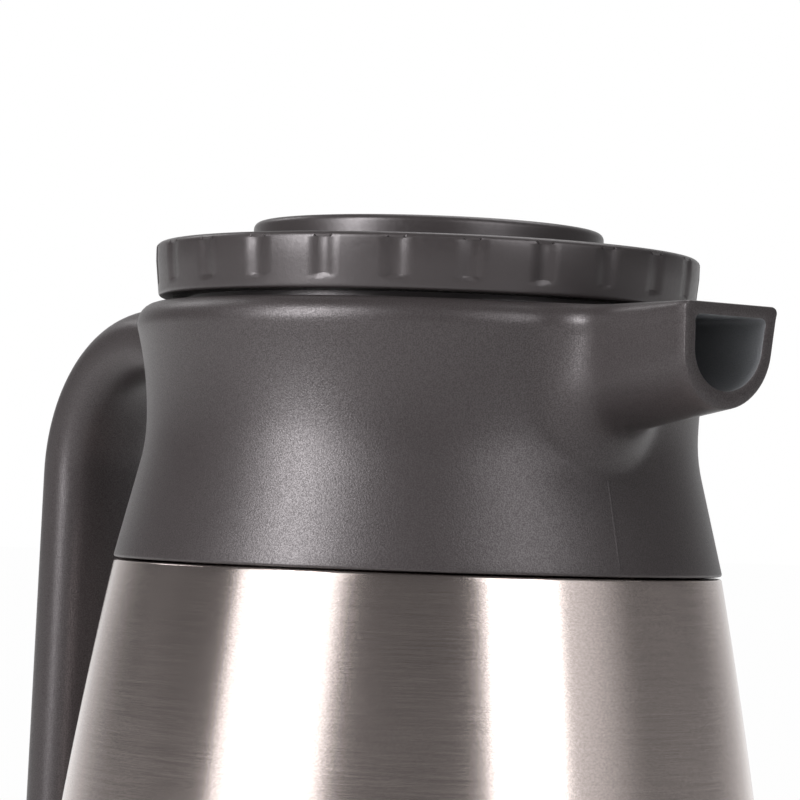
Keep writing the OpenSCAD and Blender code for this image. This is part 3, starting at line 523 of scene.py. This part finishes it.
def makeBase():
    cup, top = shellR(shell["stepZ"]), shell["stepZ"]
    inner = cup - base["wall"]
    pad = (base["padR"], base["footZ"])
    points = [(0, base["padZ"]), (base["padR"], base["padZ"]), pad]
    points += rounded(pad, (cup, base["footZ"]), (cup, top), base["edge"], base["edgeSteps"])
    points += [(cup, base["rimZ"][0]), (cup - base["rimIn"], base["rimZ"][1]), (inner, base["seatZ"]),
               (inner, base["floorZ"]), (0, base["floorZ"])]
    bm = bmesh.new()
    turnProfile(bm, points, base["steps"], closed=False)
    finishPiece("baseCup", bm, "carafe", "textured_plastic", ["base_cup"], 40)


makeBase()


spout = {
    "top": 218.4, "reach": 93.4, "half": 12.2, "height": 20.2, "fall": 9.0, "draft": 5.0, "lean": 4.0,
    "root": 67.6, "rootHalf": 20.6, "rootKeel": 183.6, "corner": (4.2, 1.3), "lip": 0.45,
    "side": 3.0, "roof": 2.5, "floor": 3.5, "columns": 7, "blendLoops": 9, "bodyLoops": 9, "keelSteps": 32,
    "lipIn": 0.3, "cornerIn": 0.6, "channelCorner": 1.2, "mouthFlare": ((0, 0.35), (0.1, 0.1)),
    "channelDepths": (0.4, 4, 9.4, 17.4, 25.4, 33.4, 40.4), "partingFrom": 30, "partingRise": 0.08,
    "partingCuts": (-0.34, -0.26, 0.26, 0.34),
}
upperCentreR = collar["waistR"] + collar["upperArc"]
edgeZ = collar["top"] - collar["edge"]
edgeSpan = collar["upperArc"] + collar["edge"]
edgeCentreR = upperCentreR - math.sqrt(edgeSpan ** 2 - (edgeZ - collar["waistZ"]) ** 2)
edgeAngle = math.degrees(math.asin((edgeZ - collar["waistZ"]) / edgeSpan))
edgeRows = 8


def skinPath():
    footIn = (collarFootInR, collar["foot"])
    foot = rounded(footIn, (collarFootR, collar["foot"]), (flareStartR, flareStart), collar["footRound"],
                   collar["footSteps"])
    return (foot + line(foot[-1], (flareStartR, flareStart), collar["slopeRows"])
            + arc((collar["waistR"] + collar["lowerArc"], collar["waistZ"]), collar["lowerArc"],
                  180 + collar["flare"], 180, collar["waistRows"])
            + arc((upperCentreR, collar["waistZ"]), collar["upperArc"], 180, 180 - edgeAngle,
                  collar["upperRows"], 1)
            + arc((edgeCentreR, edgeZ), collar["edge"], -edgeAngle, 90, edgeRows, 1))


def skinR(z):
    if z < flareStart:
        return flareStartR + (flareStart - z) * flareTan
    if z < collar["waistZ"]:
        return collar["waistR"] + collar["lowerArc"] - math.sqrt(
            collar["lowerArc"] ** 2 - (collar["waistZ"] - z) ** 2)
    if z < edgeZ - collar["edge"] * math.sin(math.radians(edgeAngle)):
        return upperCentreR - math.sqrt(collar["upperArc"] ** 2 - (z - collar["waistZ"]) ** 2)
    return edgeCentreR + math.sqrt(max(0, collar["edge"] ** 2 - (z - edgeZ) ** 2))


def skinNormal(co):
    z, step = co.z, 0.02
    if z > collar["top"] - 0.001:
        return Vector((0, 0, 1))
    above = min(z + step, collar["top"])
    slope = (skinR(above) - skinR(z - step)) / (above - z + step)
    flat = Vector((co.x, co.y, 0)).normalized()
    return Vector((flat.x, flat.y, -slope)).normalized()


def inset(points, wall):
    moved = []
    for i, point in enumerate(points):
        before = Vector(points[max(i - 1, 0)])
        after = Vector(points[min(i + 1, len(points) - 1)])
        way = (after - before).normalized()
        moved.append((point[0] - way.y * wall, point[1] + way.x * wall))
    return moved


def evenly(points, count):
    lengths = [0.0]
    for a, b in zip(points, points[1:]):
        lengths.append(lengths[-1] + (Vector(b) - Vector(a)).length)
    found, at = [], 0
    for i in range(count + 1):
        goal = lengths[-1] * i / count
        while at < len(lengths) - 2 and lengths[at + 1] < goal:
            at += 1
        share = (goal - lengths[at]) / (lengths[at + 1] - lengths[at])
        found.append(tuple(Vector(points[at]).lerp(Vector(points[at + 1]), share)))
    return found


def keelCurve(half, top, keel, start):
    lean = math.tan(math.radians(spout["draft"]))
    rounding = (half - (top - keel) * lean) / (1 - lean * (1 + math.tan(math.radians(spout["draft"] / 2))))
    return [(half - (top - start) * lean, start)] + arc((0, keel + rounding), rounding, -spout["draft"], -90,
                                                        spout["keelSteps"])


def spoutOutline(half, top, keel, corner, sideCount):
    angles = [math.radians(90 * i / (edgeRows - 1)) for i in range(edgeRows)]
    cornerArc = [(half - corner + corner * math.sin(a), top - corner + corner * math.cos(a)) for a in angles]
    side = evenly(keelCurve(half, top, keel, top - corner), sideCount)
    right = cornerArc + side[1:]
    left = [(-y, z) for y, z in reversed(right[:-1])]
    wide = half - corner
    count = 2 * spout["columns"]
    roof = [(-wide + 2 * wide * i / count, top) for i in range(1, count)]
    return right + left + roof


def spoutKeel(x):
    return spout["top"] - spout["height"] - (spout["reach"] - x) * math.tan(math.radians(spout["fall"]))


def leaned(x, z):
    return x + (z - spout["top"]) * math.tan(math.radians(spout["lean"])) * max(0, min(
        1, (x - spout["root"]) / (spout["reach"] - spout["root"])))


def bodyLoop(x, shrink, sideCount, place=None):
    share = min(1, max(0, (x - spout["root"]) / (spout["reach"] - spout["root"])))
    corner = spout["corner"][0] + (spout["corner"][1] - spout["corner"][0]) * share
    points = spoutOutline(spout["half"] - shrink, spout["top"] - shrink, spoutKeel(x) + shrink,
                          corner - shrink * spout["cornerIn"], sideCount)
    return [Vector((leaned(place or x, z), y, z)) for y, z in points]


def channelLoop(x, grow, sideCount):
    points = spoutOutline(spout["half"] - spout["side"] + grow, spout["top"] - spout["roof"] + grow,
                          spoutKeel(x) + spout["floor"] - grow, spout["channelCorner"] + grow, sideCount)
    return [Vector((leaned(x, z), y, z)) for y, z in points]


def walkLoop(edges, start):
    loop, at, last = [start], start, None
    while True:
        nextEdge = next(e for e in at.link_edges if e in edges and e != last)
        at, last = nextEdge.other_vert(at), nextEdge
        if at == start:
            return loop
        loop.append(at)


def openPatch(bm, inside):
    bmesh.ops.delete(bm, geom=[f for f in bm.faces if inside(f)], context="FACES_ONLY")
    bmesh.ops.delete(bm, geom=[e for e in bm.edges if not e.link_faces], context="EDGES")
    bmesh.ops.delete(bm, geom=[v for v in bm.verts if not v.link_edges], context="VERTS")


def azimuth(co):
    return math.degrees(math.atan2(co.y, co.x))


def onSkin(co):
    return abs(math.hypot(co.x, co.y) - skinR(co.z)) < 0.02 and co.z > collar["foot"] + collar["skinStart"]


def hermite(t, start, leave, end, arrive):
    return (start * (2 * t ** 3 - 3 * t * t + 1) + leave * (t ** 3 - 2 * t * t + t)
            + end * (3 * t * t - 2 * t ** 3) + arrive * (t ** 3 - t * t))


def makeCollar():
    path = skinPath()
    wallIn = inset(path, collar["wall"])
    roofZ = collar["top"] - collar["wall"]
    wallIn = [p for p in wallIn if collar["foot"] + collar["trim"] < p[1] < roofZ - collar["trim"]]
    wellRows = collar["wellRows"] + [collar["top"] - collar["leadIn"]]
    outWall = collar["wellR"] + collar["wellWall"]
    brim = (collar["wellR"] + collar["topEdge"], collar["top"])
    points = path + line(path[-1], brim, 2) + [brim]
    points += [(collar["wellR"], z) for z in reversed(wellRows)]
    points += [(collar["holeR"], collar["wellZ"]), (collar["holeR"], collar["floorZ"])]
    points += [(outWall, collar["floorZ"]), (outWall, roofZ)] + list(reversed(wallIn))
    points += [(collarFootInR, collar["foot"])]
    bm = bmesh.new()
    # the faces inside the spout's channel are marked for painted light, a paler colour lifting their shade
    paintedChannelLight = bm.faces.layers.float.new("paintedChannelLight")
    turnProfile(bm, points, collar["columns"])
    turn = 360 / collar["columns"]
    reach = spout["columns"] * turn + 0.1
    top = collar["top"]
    windowLow, windowHigh = collar["windowZ"]
    openPatch(bm, lambda f: all(onSkin(v.co) and abs(azimuth(v.co)) < reach and v.co.z > flareStart - 0.1
                                for v in f.verts))
    openPatch(bm, lambda f: all(abs(math.hypot(v.co.x, v.co.y) - collar["wellR"]) < 0.01
                                and abs(azimuth(v.co)) < collar["windowHalf"]
                                and windowLow < v.co.z < windowHigh for v in f.verts))
    holes = {e for e in bm.edges if e.is_boundary}
    corner = min((v for e in holes for v in e.verts if onSkin(v.co)),
                 key=lambda v: (-round(v.co.z, 2), -v.co.y))
    loop = walkLoop(holes, corner)
    if loop[1].co.z > top - 0.01:
        loop = [loop[0]] + loop[:0:-1]
    sideRows = len([v for v in loop if abs(azimuth(v.co) - spout["columns"] * turn) < 0.1]) - 1
    sideCount = sideRows - (edgeRows - 1) + spout["columns"]
    print("spout root", len(loop), sideRows, sideCount)

    # the root of the spout on the collar's skin, in the same order as every later loop
    edgeY = loop[0].co.y
    right = []
    for vert in loop[:edgeRows]:
        climb = max(0, vert.co.z - edgeZ) / collar["edge"]
        rise = math.sqrt(max(0, 1 - climb ** 2))
        right.append((edgeY + (spout["rootHalf"] - edgeY) * rise, vert.co.z))
    keel = keelCurve(spout["rootHalf"], spout["top"], spout["rootKeel"], right[-1][1])
    right += evenly(keel, sideCount)[1:]
    outline = right + [(-y, z) for y, z in reversed(right[:-1])]
    fixed = set(loop)
    for vert, (y, z) in zip(loop, outline):
        vert.co = Vector((math.sqrt(max(0, skinR(z) ** 2 - y * y)), y, z))

    # let the grid round the root settle, each vertex sliding on the collar's skin
    settle = collar["settle"]
    free = [v for v in bm.verts if v not in fixed and onSkin(v.co) and abs(azimuth(v.co)) < settle["azimuth"]
            and collar["foot"] + settle["foot"] < v.co.z < top - 0.01]
    for _ in range(settle["times"]):
        moves = []
        for vert in free:
            near = [e.other_vert(vert).co for e in vert.link_edges]
            turned = sum(azimuth(n) for n in near) / len(near)
            height = vert.co.z
            if height < edgeZ - settle["edge"]:
                height = sum(n.z for n in near) / len(near)
            moves.append((vert, math.radians(turned), height))
        for vert, turned, height in moves:
            vert.co = Vector((skinR(height) * math.cos(turned), skinR(height) * math.sin(turned), height))

    starts = [v.co.copy() for v in loop]
    ends = bodyLoop(spout["root"], 0, sideCount)
    keelTan = math.tan(math.radians(spout["fall"]))
    spoutLoops = []
    for i in range(1, spout["blendLoops"] + 1):
        t = i / spout["blendLoops"]
        places = []
        for start, end in zip(starts, ends):
            chord = end - start
            normal = skinNormal(start)
            leave = (chord - normal * chord.dot(normal)).normalized() * chord.length
            low = max(0, min(1, (spout["top"] - end.z) / spout["height"]))
            arrive = Vector((1, 0, keelTan * low)).normalized() * chord.length
            places.append(hermite(t, start, leave, end, arrive))
        spoutLoops.append(places)
    lip, mouth = spout["lip"], spout["reach"]
    for i in range(1, spout["bodyLoops"] + 1):
        x = spout["root"] + (mouth - lip - spout["root"]) * i / spout["bodyLoops"]
        spoutLoops.append(bodyLoop(x, 0, sideCount))
    lipStep = lip * spout["lipIn"]
    spoutLoops.append(bodyLoop(mouth, lipStep, sideCount, mouth - lipStep))
    spoutLoops.append(bodyLoop(mouth, lip, sideCount))
    spoutLoops += [channelLoop(mouth - depth, grow, sideCount) for depth, grow in spout["mouthFlare"]]
    # loops from here on are inside the channel and get the painted light
    firstPaintedLoop = len(spoutLoops)
    spoutLoops += [channelLoop(mouth - depth, 0, sideCount) for depth in spout["channelDepths"]]
    for i, places in enumerate(spoutLoops):
        edges = [e for e in bm.edges if e.is_boundary and all(v in fixed for v in e.verts)]
        made = bmesh.ops.extrude_edge_only(bm, edges=edges)["geom"]
        for face in made:
            if isinstance(face, bmesh.types.BMFace):
                face[paintedChannelLight] = float(i >= firstPaintedLoop)
        newVerts = {v for v in made if isinstance(v, bmesh.types.BMVert)}
        loop = [next(e.other_vert(v) for e in v.link_edges if e.other_vert(v) in newVerts) for v in loop]
        fixed = set(loop)
        for vert, place in zip(loop, places):
            vert.co = place

    # the well's end of the channel
    rest = [e for e in bm.edges if e.is_boundary and not all(v in fixed for v in e.verts)]
    first = max((v for e in rest for v in e.verts), key=lambda v: (round(v.co.z, 2), v.co.y))
    wellLoop = walkLoop(set(rest), first)
    if wellLoop[1].co.z > first.co.z - 0.01:
        wellLoop = [wellLoop[0]] + wellLoop[:0:-1]
    outline = [(p.y, p.z) for p in channelLoop(collar["wellR"], 0, sideCount)]
    around = evenly(outline + [outline[0]], len(wellLoop))
    for vert, (y, z) in zip(wellLoop, around):
        vert.co = Vector((math.sqrt(collar["wellR"] ** 2 - y * y), y, z))
    # the well's end of the channel gets the painted light too
    for face in bmesh.ops.bridge_loops(bm, edges=[e for e in bm.edges if e.is_boundary])["faces"]:
        face[paintedChannelLight] = 1.0

    # the mould's parting line shows as a fine ridge under the spout
    for side in spout["partingCuts"]:
        under = [f for f in bm.faces if f.calc_center_median().x > spout["partingFrom"]]
        bmesh.ops.bisect_plane(bm, geom=allOf(under), plane_co=(0, side, 0), plane_no=(0, 1, 0), dist=weldGap)
    for vert in bm.verts:
        inFront = vert.co.x > spout["partingFrom"] and vert.co.z < spout["rootKeel"] + 1
        if inFront and abs(vert.co.y) < 0.01 and onSkin(vert.co):
            vert.co += skinNormal(vert.co) * spout["partingRise"]
    print("open edges", len([e for e in bm.edges if not e.is_manifold]))
    piece = finishPiece("collarWithSpout", bm, "carafe", "textured_plastic", ["collar"], 40)
    cutters, screw = [], collar["floorScrew"]
    for i in range(4):
        bm = bmesh.new()
        turned = Matrix.Rotation(math.radians(45 + 90 * i), 4, "Z")
        place = turned @ Matrix.Translation((screw["r"], 0, screw["z"]))
        bmesh.ops.create_cone(bm, cap_ends=True, segments=32, radius1=screw["radii"][0],
                              radius2=screw["radii"][1], depth=screw["depth"], matrix=place)
        cutters.append(bm)
    screw = collar["wallScrew"]
    for y in (-screw["y"], screw["y"]):
        bm = bmesh.new()
        place = Matrix.Translation((screw["x"], y, screw["z"])) @ Matrix.Rotation(math.pi / 2, 4, "Y")
        bmesh.ops.create_cone(bm, cap_ends=True, segments=32, radius1=screw["radius"],
                              radius2=screw["radius"], depth=screw["depth"], matrix=place)
        cutters.append(bm)
    carve(piece, cutters)


makeCollar()


ring = {
    "foot": 220.0, "footR": 56.7, "top": 231.3, "r": 57.5, "edge": 1.3, "deck": 2.4, "wall": 3.0,
    "seatR": 33.45, "seatZ": 228.9, "seatEdge": 0.3, "ledgeR": 31.5, "ledgeZ": 226.6, "collarR": 36.3,
    "columns": 192, "taper": 0.104, "footRound": 0.8, "lowRows": (1.1, 1.6), "highRows": (3.1, 5.2, 7.4),
    "edgeRow": 0.8, "deckR": (53, 50, 45, 40, 36), "pockets": 24, "pocketHalf": 1.9, "pocketFoot": 2.3,
    "pocketDepth": 0.32, "pocketTop": 0.6, "pocketSlope": 0.6, "rimAngle": 22, "rimRound": 0.2,
    "pinX": -33.5, "pinZ": 233.95, "pinHole": 1.02, "boreY": 15, "knuckleR": 2.45, "earY": (9.3, 13.3),
    "earFoot": 0.8,
    "post": {"r": 42, "foot": 2.45, "top": 1.2, "radius": 3.2},
    "dish": {"radius": 12, "x": 39.6, "rise": 10.5},
}


def tube(bm, start, end, radius, segments=48):
    a, b = Vector(start), Vector(end)
    turn = (b - a).to_track_quat("Z", "Y").to_matrix().to_4x4()
    bmesh.ops.create_cone(bm, cap_ends=True, segments=segments, radius1=radius, radius2=radius,
                          depth=(b - a).length, matrix=Matrix.Translation((a + b) / 2) @ turn)


def makeRing():
    top, foot = ring["top"], ring["foot"]
    inner, under = ring["footR"] - ring["wall"], top - ring["deck"]
    rows = [foot + rise for rise in (*ring["lowRows"], ring["pocketFoot"], *ring["highRows"])]
    rows += [top - ring["edge"] - ring["edgeRow"]]
    footRow = ring["lowRows"][0]
    footSlope = (ring["footR"] + footRow * ring["taper"], foot + footRow)
    points = rounded((inner, foot), (ring["footR"], foot), footSlope, ring["footRound"], 5)
    points += [(min(ring["r"], ring["footR"] + (z - foot) * ring["taper"]), z) for z in rows]
    points += rounded((ring["r"], foot), (ring["r"], top), (0, top), ring["edge"], 7)
    points += [(r, top) for r in (*ring["deckR"], ring["seatR"] + ring["seatEdge"])]
    points += [(ring["seatR"], top - ring["seatEdge"]), (ring["seatR"], ring["seatZ"])]
    points += [(ring["ledgeR"], ring["seatZ"]), (ring["ledgeR"], ring["ledgeZ"])]
    points += [(ring["collarR"], ring["ledgeZ"]), (ring["collarR"], under), (inner, under), (inner, foot)]
    bm = bmesh.new()
    turnProfile(bm, points, ring["columns"])
    bmesh.ops.recalc_face_normals(bm, faces=bm.faces)
    step = 360 / ring["pockets"]
    low, high = foot + ring["pocketFoot"] - 0.05, top - ring["pocketTop"]

    def inPocket(face):
        middle = face.calc_center_median()
        off = (azimuth(middle) + step / 2) % step - step / 2
        return (abs(off) < ring["pocketHalf"] and math.hypot(middle.x, middle.y) > ring["footR"] - 1
                and all(low < v.co.z < high for v in face.verts))

    pocketFaces = [f for f in bm.faces if inPocket(f)]
    bmesh.ops.inset_region(bm, faces=pocketFaces, thickness=ring["pocketSlope"], depth=0,
                           use_even_offset=True)
    for vert in {v for f in pocketFaces for v in f.verts}:
        flat = Vector((vert.co.x, vert.co.y, 0)).normalized()
        vert.co -= flat * ring["pocketDepth"]
    rimAngle = math.radians(ring["rimAngle"])
    rims = [e for e in bm.edges if len(e.link_faces) == 2 and e.calc_face_angle(0) > rimAngle
            and all(low - 0.1 < v.co.z < high + 0.2 for v in e.verts)
            and all(math.hypot(v.co.x, v.co.y) > ring["footR"] - 1.5 for v in e.verts)]
    bmesh.ops.bevel(bm, geom=rims, offset=ring["rimRound"], offset_type="OFFSET", segments=3, profile=0.5,
                    affect="EDGES", material=-1, clamp_overlap=True)
    piece = finishPiece("gripRing", bm, "lid", "satin_plastic", ["grip_ring"], 35)

    added = []
    pin = Vector((ring["pinX"], 0, ring["pinZ"]))
    for side in (-1, 1):
        bm = bmesh.new()
        near, far = (side * y for y in ring["earY"])
        place = Matrix.Translation((pin.x, near, pin.z)) @ Matrix.Rotation(math.pi / 2, 4, "X")
        bmesh.ops.create_circle(bm, cap_ends=False, segments=48, radius=ring["knuckleR"], matrix=place)
        for vert in bm.verts:
            if vert.co.z < pin.z - 0.2:
                half = ring["knuckleR"] if vert.co.x > pin.x else -ring["knuckleR"]
                vert.co = Vector((pin.x + half, near, top - ring["earFoot"]))
        bmesh.ops.remove_doubles(bm, verts=bm.verts, dist=0.01)
        earSide = bmesh.ops.contextual_create(bm, geom=bm.edges)["faces"]
        grown = bmesh.ops.extrude_face_region(bm, geom=earSide)["geom"]
        newVerts = [v for v in grown if isinstance(v, bmesh.types.BMVert)]
        bmesh.ops.translate(bm, vec=(0, far - near, 0), verts=newVerts)
        added.append(bm)
    post, dish = ring["post"], ring["dish"]
    for i in range(3):
        bm = bmesh.new()
        turn = math.radians(60 + 120 * i)
        x, y = post["r"] * math.cos(turn), post["r"] * math.sin(turn)
        tube(bm, (x, y, foot + post["foot"]), (x, y, top - post["top"]), post["radius"], 32)
        added.append(bm)
    carve(piece, added, "UNION")
    scoop, bore = bmesh.new(), bmesh.new()
    bmesh.ops.create_uvsphere(scoop, u_segments=96, v_segments=96, radius=dish["radius"],
                              matrix=Matrix.Translation((dish["x"], 0, top + dish["rise"])))
    tube(bore, (pin.x, -ring["boreY"], pin.z), (pin.x, ring["boreY"], pin.z), ring["pinHole"])
    carve(piece, [scoop, bore])


makeRing()


cap = {
    "r": 37.1, "foot": 231.6, "top": 236.5, "edge": 1.5, "footEdge": 0.25, "roof": 1.8, "wall": 1.8,
    "dish": 0.25, "dishRows": (12, 24), "dishR": (34.2, 34.7), "dishLip": 0.02, "lipR": 29.1, "lipOut": 1.95,
    "lipIn": 1.2, "sealIn": 0.15, "sealZ": (0.6, 1.6), "steps": 192, "knuckleY": 9.0, "gap": 0.3,
    "backCut": (20, 80, 12), "pinHole": 1.05, "boreY": 12,
}


def makeCap():
    foot, top, under = cap["foot"], cap["top"], cap["top"] - cap["roof"]
    outer = [(cap["r"] - cap["footEdge"], foot), (cap["r"], foot + cap["footEdge"])]
    outer += line(outer[-1], (cap["r"], top - cap["edge"]), 3)
    outer += rounded((cap["r"], foot), (cap["r"], top), (0, top), cap["edge"], 8)
    dishEnd, dishLip = cap["dishR"]
    points = [(r, top - cap["dish"]) for r in (0, *cap["dishRows"], dishEnd)]
    points += [(dishLip, top - cap["dishLip"])]
    points += list(reversed(outer)) + [(cap["r"] - cap["wall"], foot), (cap["r"] - cap["wall"], under)]
    sealLow, sealHigh = (foot + rise for rise in cap["sealZ"])
    lipOut, sealR, lipIn = (cap["lipR"] + step for step in (cap["lipOut"], -cap["sealIn"], -cap["lipIn"]))
    points += [(lipOut, under), (lipOut, sealHigh), (sealR, sealHigh), (sealR, sealLow), (lipIn, sealLow),
               (lipIn, under), (0, under)]
    bm = bmesh.new()
    turnProfile(bm, points, cap["steps"], closed=False)
    piece = finishPiece("flipCap", bm, "cap", "satin_plastic", ["flip_cap"], 35)
    pinX, pinZ, gap, back = ring["pinX"], ring["pinZ"], cap["gap"], cap["backCut"]
    bm = bmesh.new()
    place = Matrix.Translation((pinX - back[0] / 2, 0, pinZ))
    bmesh.ops.create_cube(bm, size=1, matrix=place @ Matrix.Diagonal((*back, 1)))
    away = [bm]
    near, far = ring["earY"][0] - gap, ring["earY"][1] + gap
    for side in (-1, 1):
        bm = bmesh.new()
        tube(bm, (pinX, side * near, pinZ), (pinX, side * far, pinZ), ring["knuckleR"] + gap, 64)
        away.append(bm)
    carve(piece, away)
    knuckle, bore = bmesh.new(), bmesh.new()
    tube(knuckle, (pinX, -cap["knuckleY"], pinZ), (pinX, cap["knuckleY"], pinZ), ring["knuckleR"], 64)
    carve(piece, [knuckle], "UNION")
    tube(bore, (pinX, -cap["boreY"], pinZ), (pinX, cap["boreY"], pinZ), cap["pinHole"])
    carve(piece, [bore])


makeCap()


handle = {
    "width": 26.0, "depth": 17.0, "power": 2.5, "reach": 124.6, "arch": 31.5, "archZ": 181.7, "armRise": 11.0,
    "lean": 1.75, "grip": 85.0, "heel": 45.0, "heelTurn": 62.0, "arm": 38.0, "tail": 34.0, "points": 64,
    "rows": {"arm": 8, "arch": 30, "grip": 16, "heel": 22, "tail": 8, "cover": 24},
    "coverWidth": 18.6, "coverDepth": 2.8, "coverMargin": 4.0, "coverRound": 4.85, "floor": 3.5, "ledge": 1.5,
    "gap": 0.15, "seatRound": 5.0, "channelRound": 4.0, "over": 6, "clearance": 0.12, "cutStep": 6,
    "cutRows": 26, "screwWell": {"below": 30, "above": 1.2, "radius": 2.9},
}


def handleStations():
    lean = math.radians(handle["lean"])
    archR, heelR = handle["arch"], handle["heel"]
    archCentre = Vector((handle["reach"] - archR, handle["archZ"]))
    armTurn = math.radians(90 + handle["armRise"])

    def radial(a):
        return Vector((math.cos(a), math.sin(a)))

    def along(a):
        return Vector((-math.sin(a), math.cos(a)))

    gripTop = archCentre + archR * radial(lean)
    gripEnd = gripTop - handle["grip"] * along(lean)
    heelCentre = gripEnd - heelR * radial(lean)
    heelTurn = lean - math.radians(handle["heelTurn"])
    armStart = archCentre + archR * radial(armTurn)
    heelEnd = heelCentre + heelR * radial(heelTurn)
    rows = handle["rows"]
    archTurns = [armTurn + (lean - armTurn) * i / rows["arch"] for i in range(rows["arch"] + 1)]
    heelTurns = [lean + (heelTurn - lean) * i / rows["heel"] for i in range(rows["heel"] + 1)]
    stations = [(armStart + along(armTurn) * handle["arm"] * (1 - i / rows["arm"]), armTurn)
                for i in range(rows["arm"])]
    stations += [(archCentre + archR * radial(a), a) for a in archTurns]
    stations += [(gripTop.lerp(gripEnd, i / rows["grip"]), lean) for i in range(1, rows["grip"])]
    stations += [(heelCentre + heelR * radial(a), a) for a in heelTurns]
    stations += [(heelEnd - along(heelTurn) * handle["tail"] * i / rows["tail"], heelTurn)
                 for i in range(1, rows["tail"] + 1)]
    return stations, gripEnd, lean


def handleSection():
    power = 2 / handle["power"]
    found = []
    for i in range(handle["points"]):
        a = math.tau * i / handle["points"]
        c, s = math.cos(a), math.sin(a)
        found.append((handle["depth"] / 2 * math.copysign(abs(c) ** power, c),
                      handle["width"] / 2 * math.copysign(abs(s) ** power, s)))
    return found


def sweepSection(bm, stations, section):
    made = bmesh.ops.create_circle(bm, cap_ends=False, segments=len(section), radius=1)["verts"]
    bm.verts.index_update()
    loop = sorted(made, key=lambda v: v.index)
    for i, (centre, turn) in enumerate(stations):
        if i:
            edges = [e for e in bm.edges if e.is_boundary or not e.link_faces]
            edges = [e for e in edges if all(v in loop for v in e.verts)]
            grown = bmesh.ops.extrude_edge_only(bm, edges=edges)["geom"]
            newVerts = {v for v in grown if isinstance(v, bmesh.types.BMVert)}
            loop = [next(e.other_vert(v) for e in v.link_edges if e.other_vert(v) in newVerts) for v in loop]
        for vert, (out, across) in zip(loop, section):
            r, z = centre.x + out * math.cos(turn), centre.y + out * math.sin(turn)
            vert.co = Vector((-r, across, z))
    bmesh.ops.holes_fill(bm, edges=[e for e in bm.edges if e.is_boundary], sides=0)


def gripBox(gripEnd, lean, depth, width, trim, rounding):
    bm = bmesh.new()
    bmesh.ops.create_cube(bm, size=1)
    low, high = handle["depth"] / 2 - depth, handle["depth"] / 2 + handle["over"]
    length = handle["grip"] - 2 * trim
    bmesh.ops.scale(bm, vec=(high - low, width, length), verts=bm.verts)
    bmesh.ops.translate(bm, vec=((low + high) / 2, 0, handle["grip"] / 2), verts=bm.verts)
    corners = [e for e in bm.edges if abs((e.verts[0].co - e.verts[1].co).x) > 1]
    bmesh.ops.bevel(bm, geom=corners, offset=rounding, offset_type="OFFSET", segments=8, profile=0.5,
                    affect="EDGES", material=-1)
    for vert in bm.verts:
        x, z = vert.co.x, vert.co.z
        r = gripEnd.x + x * math.cos(lean) - z * math.sin(lean)
        vert.co = Vector((-r, vert.co.y, gripEnd.y + x * math.sin(lean) + z * math.cos(lean)))
    return bm


def makeHandle():
    stations, gripEnd, lean = handleStations()
    bm = bmesh.new()
    sweepSection(bm, stations, handleSection())
    piece = finishPiece("handleLoop", bm, "carafe", "textured_plastic", ["handle"], 40)
    collarCut, steelCut = bmesh.new(), bmesh.new()
    clear, foot = handle["clearance"], collar["foot"]
    skin = [(r + clear, z) for r, z in skinPath()[collar["footSteps"]:]]
    outline = [(0, foot), (skin[0][0], foot)] + skin + [(0, skin[-1][1])]
    turnProfile(collarCut, outline, collar["columns"], closed=False)
    heights = [shell["stepZ"] + handle["cutStep"] * i for i in range(handle["cutRows"])]
    outline = [(0, heights[0])] + [(shellR(z) + clear, z) for z in heights] + [(0, heights[-1])]
    turnProfile(steelCut, outline, collar["columns"], closed=False)
    margin, gap, ledge = handle["coverMargin"], handle["gap"], handle["ledge"]
    seat = gripBox(gripEnd, lean, handle["coverDepth"], handle["coverWidth"], margin, handle["seatRound"])
    channel = gripBox(gripEnd, lean, handle["depth"] - handle["floor"], handle["coverWidth"] - 2 * ledge,
                      margin + ledge, handle["channelRound"])
    well, screw = bmesh.new(), handle["screwWell"]
    screwLow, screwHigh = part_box("lower_handle_screw")
    x, headZ = (screwLow.x + screwHigh.x) / 2 / mm, screwLow.z / mm
    tube(well, (x, 0, headZ - screw["below"]), (x, 0, headZ + screw["above"]), screw["radius"])
    carve(piece, [collarCut, steelCut, seat, channel, well])

    bm = bmesh.new()
    upwards, rows = Vector((-math.sin(lean), math.cos(lean))), handle["rows"]["cover"]
    stations = [(gripEnd + (handle["grip"] * i / rows) * upwards, lean) for i in range(rows + 1)]
    sweepSection(bm, stations, handleSection())
    cover = finishPiece("handleCover", bm, "carafe", "textured_plastic", ["handle_cover"], 40)
    shape = gripBox(gripEnd, lean, handle["coverDepth"] - gap, handle["coverWidth"] - 2 * gap, margin + gap,
                    handle["coverRound"])
    carve(cover, [shape], "INTERSECT")


makeHandle()

for name, piece in nodes.items():
    slotName = next(p["material_slot"] for p in frame["record"]["subparts"] if p["node"] == name)
    piece.data.materials.clear()
    piece.data.materials.append(finishes[slotName])
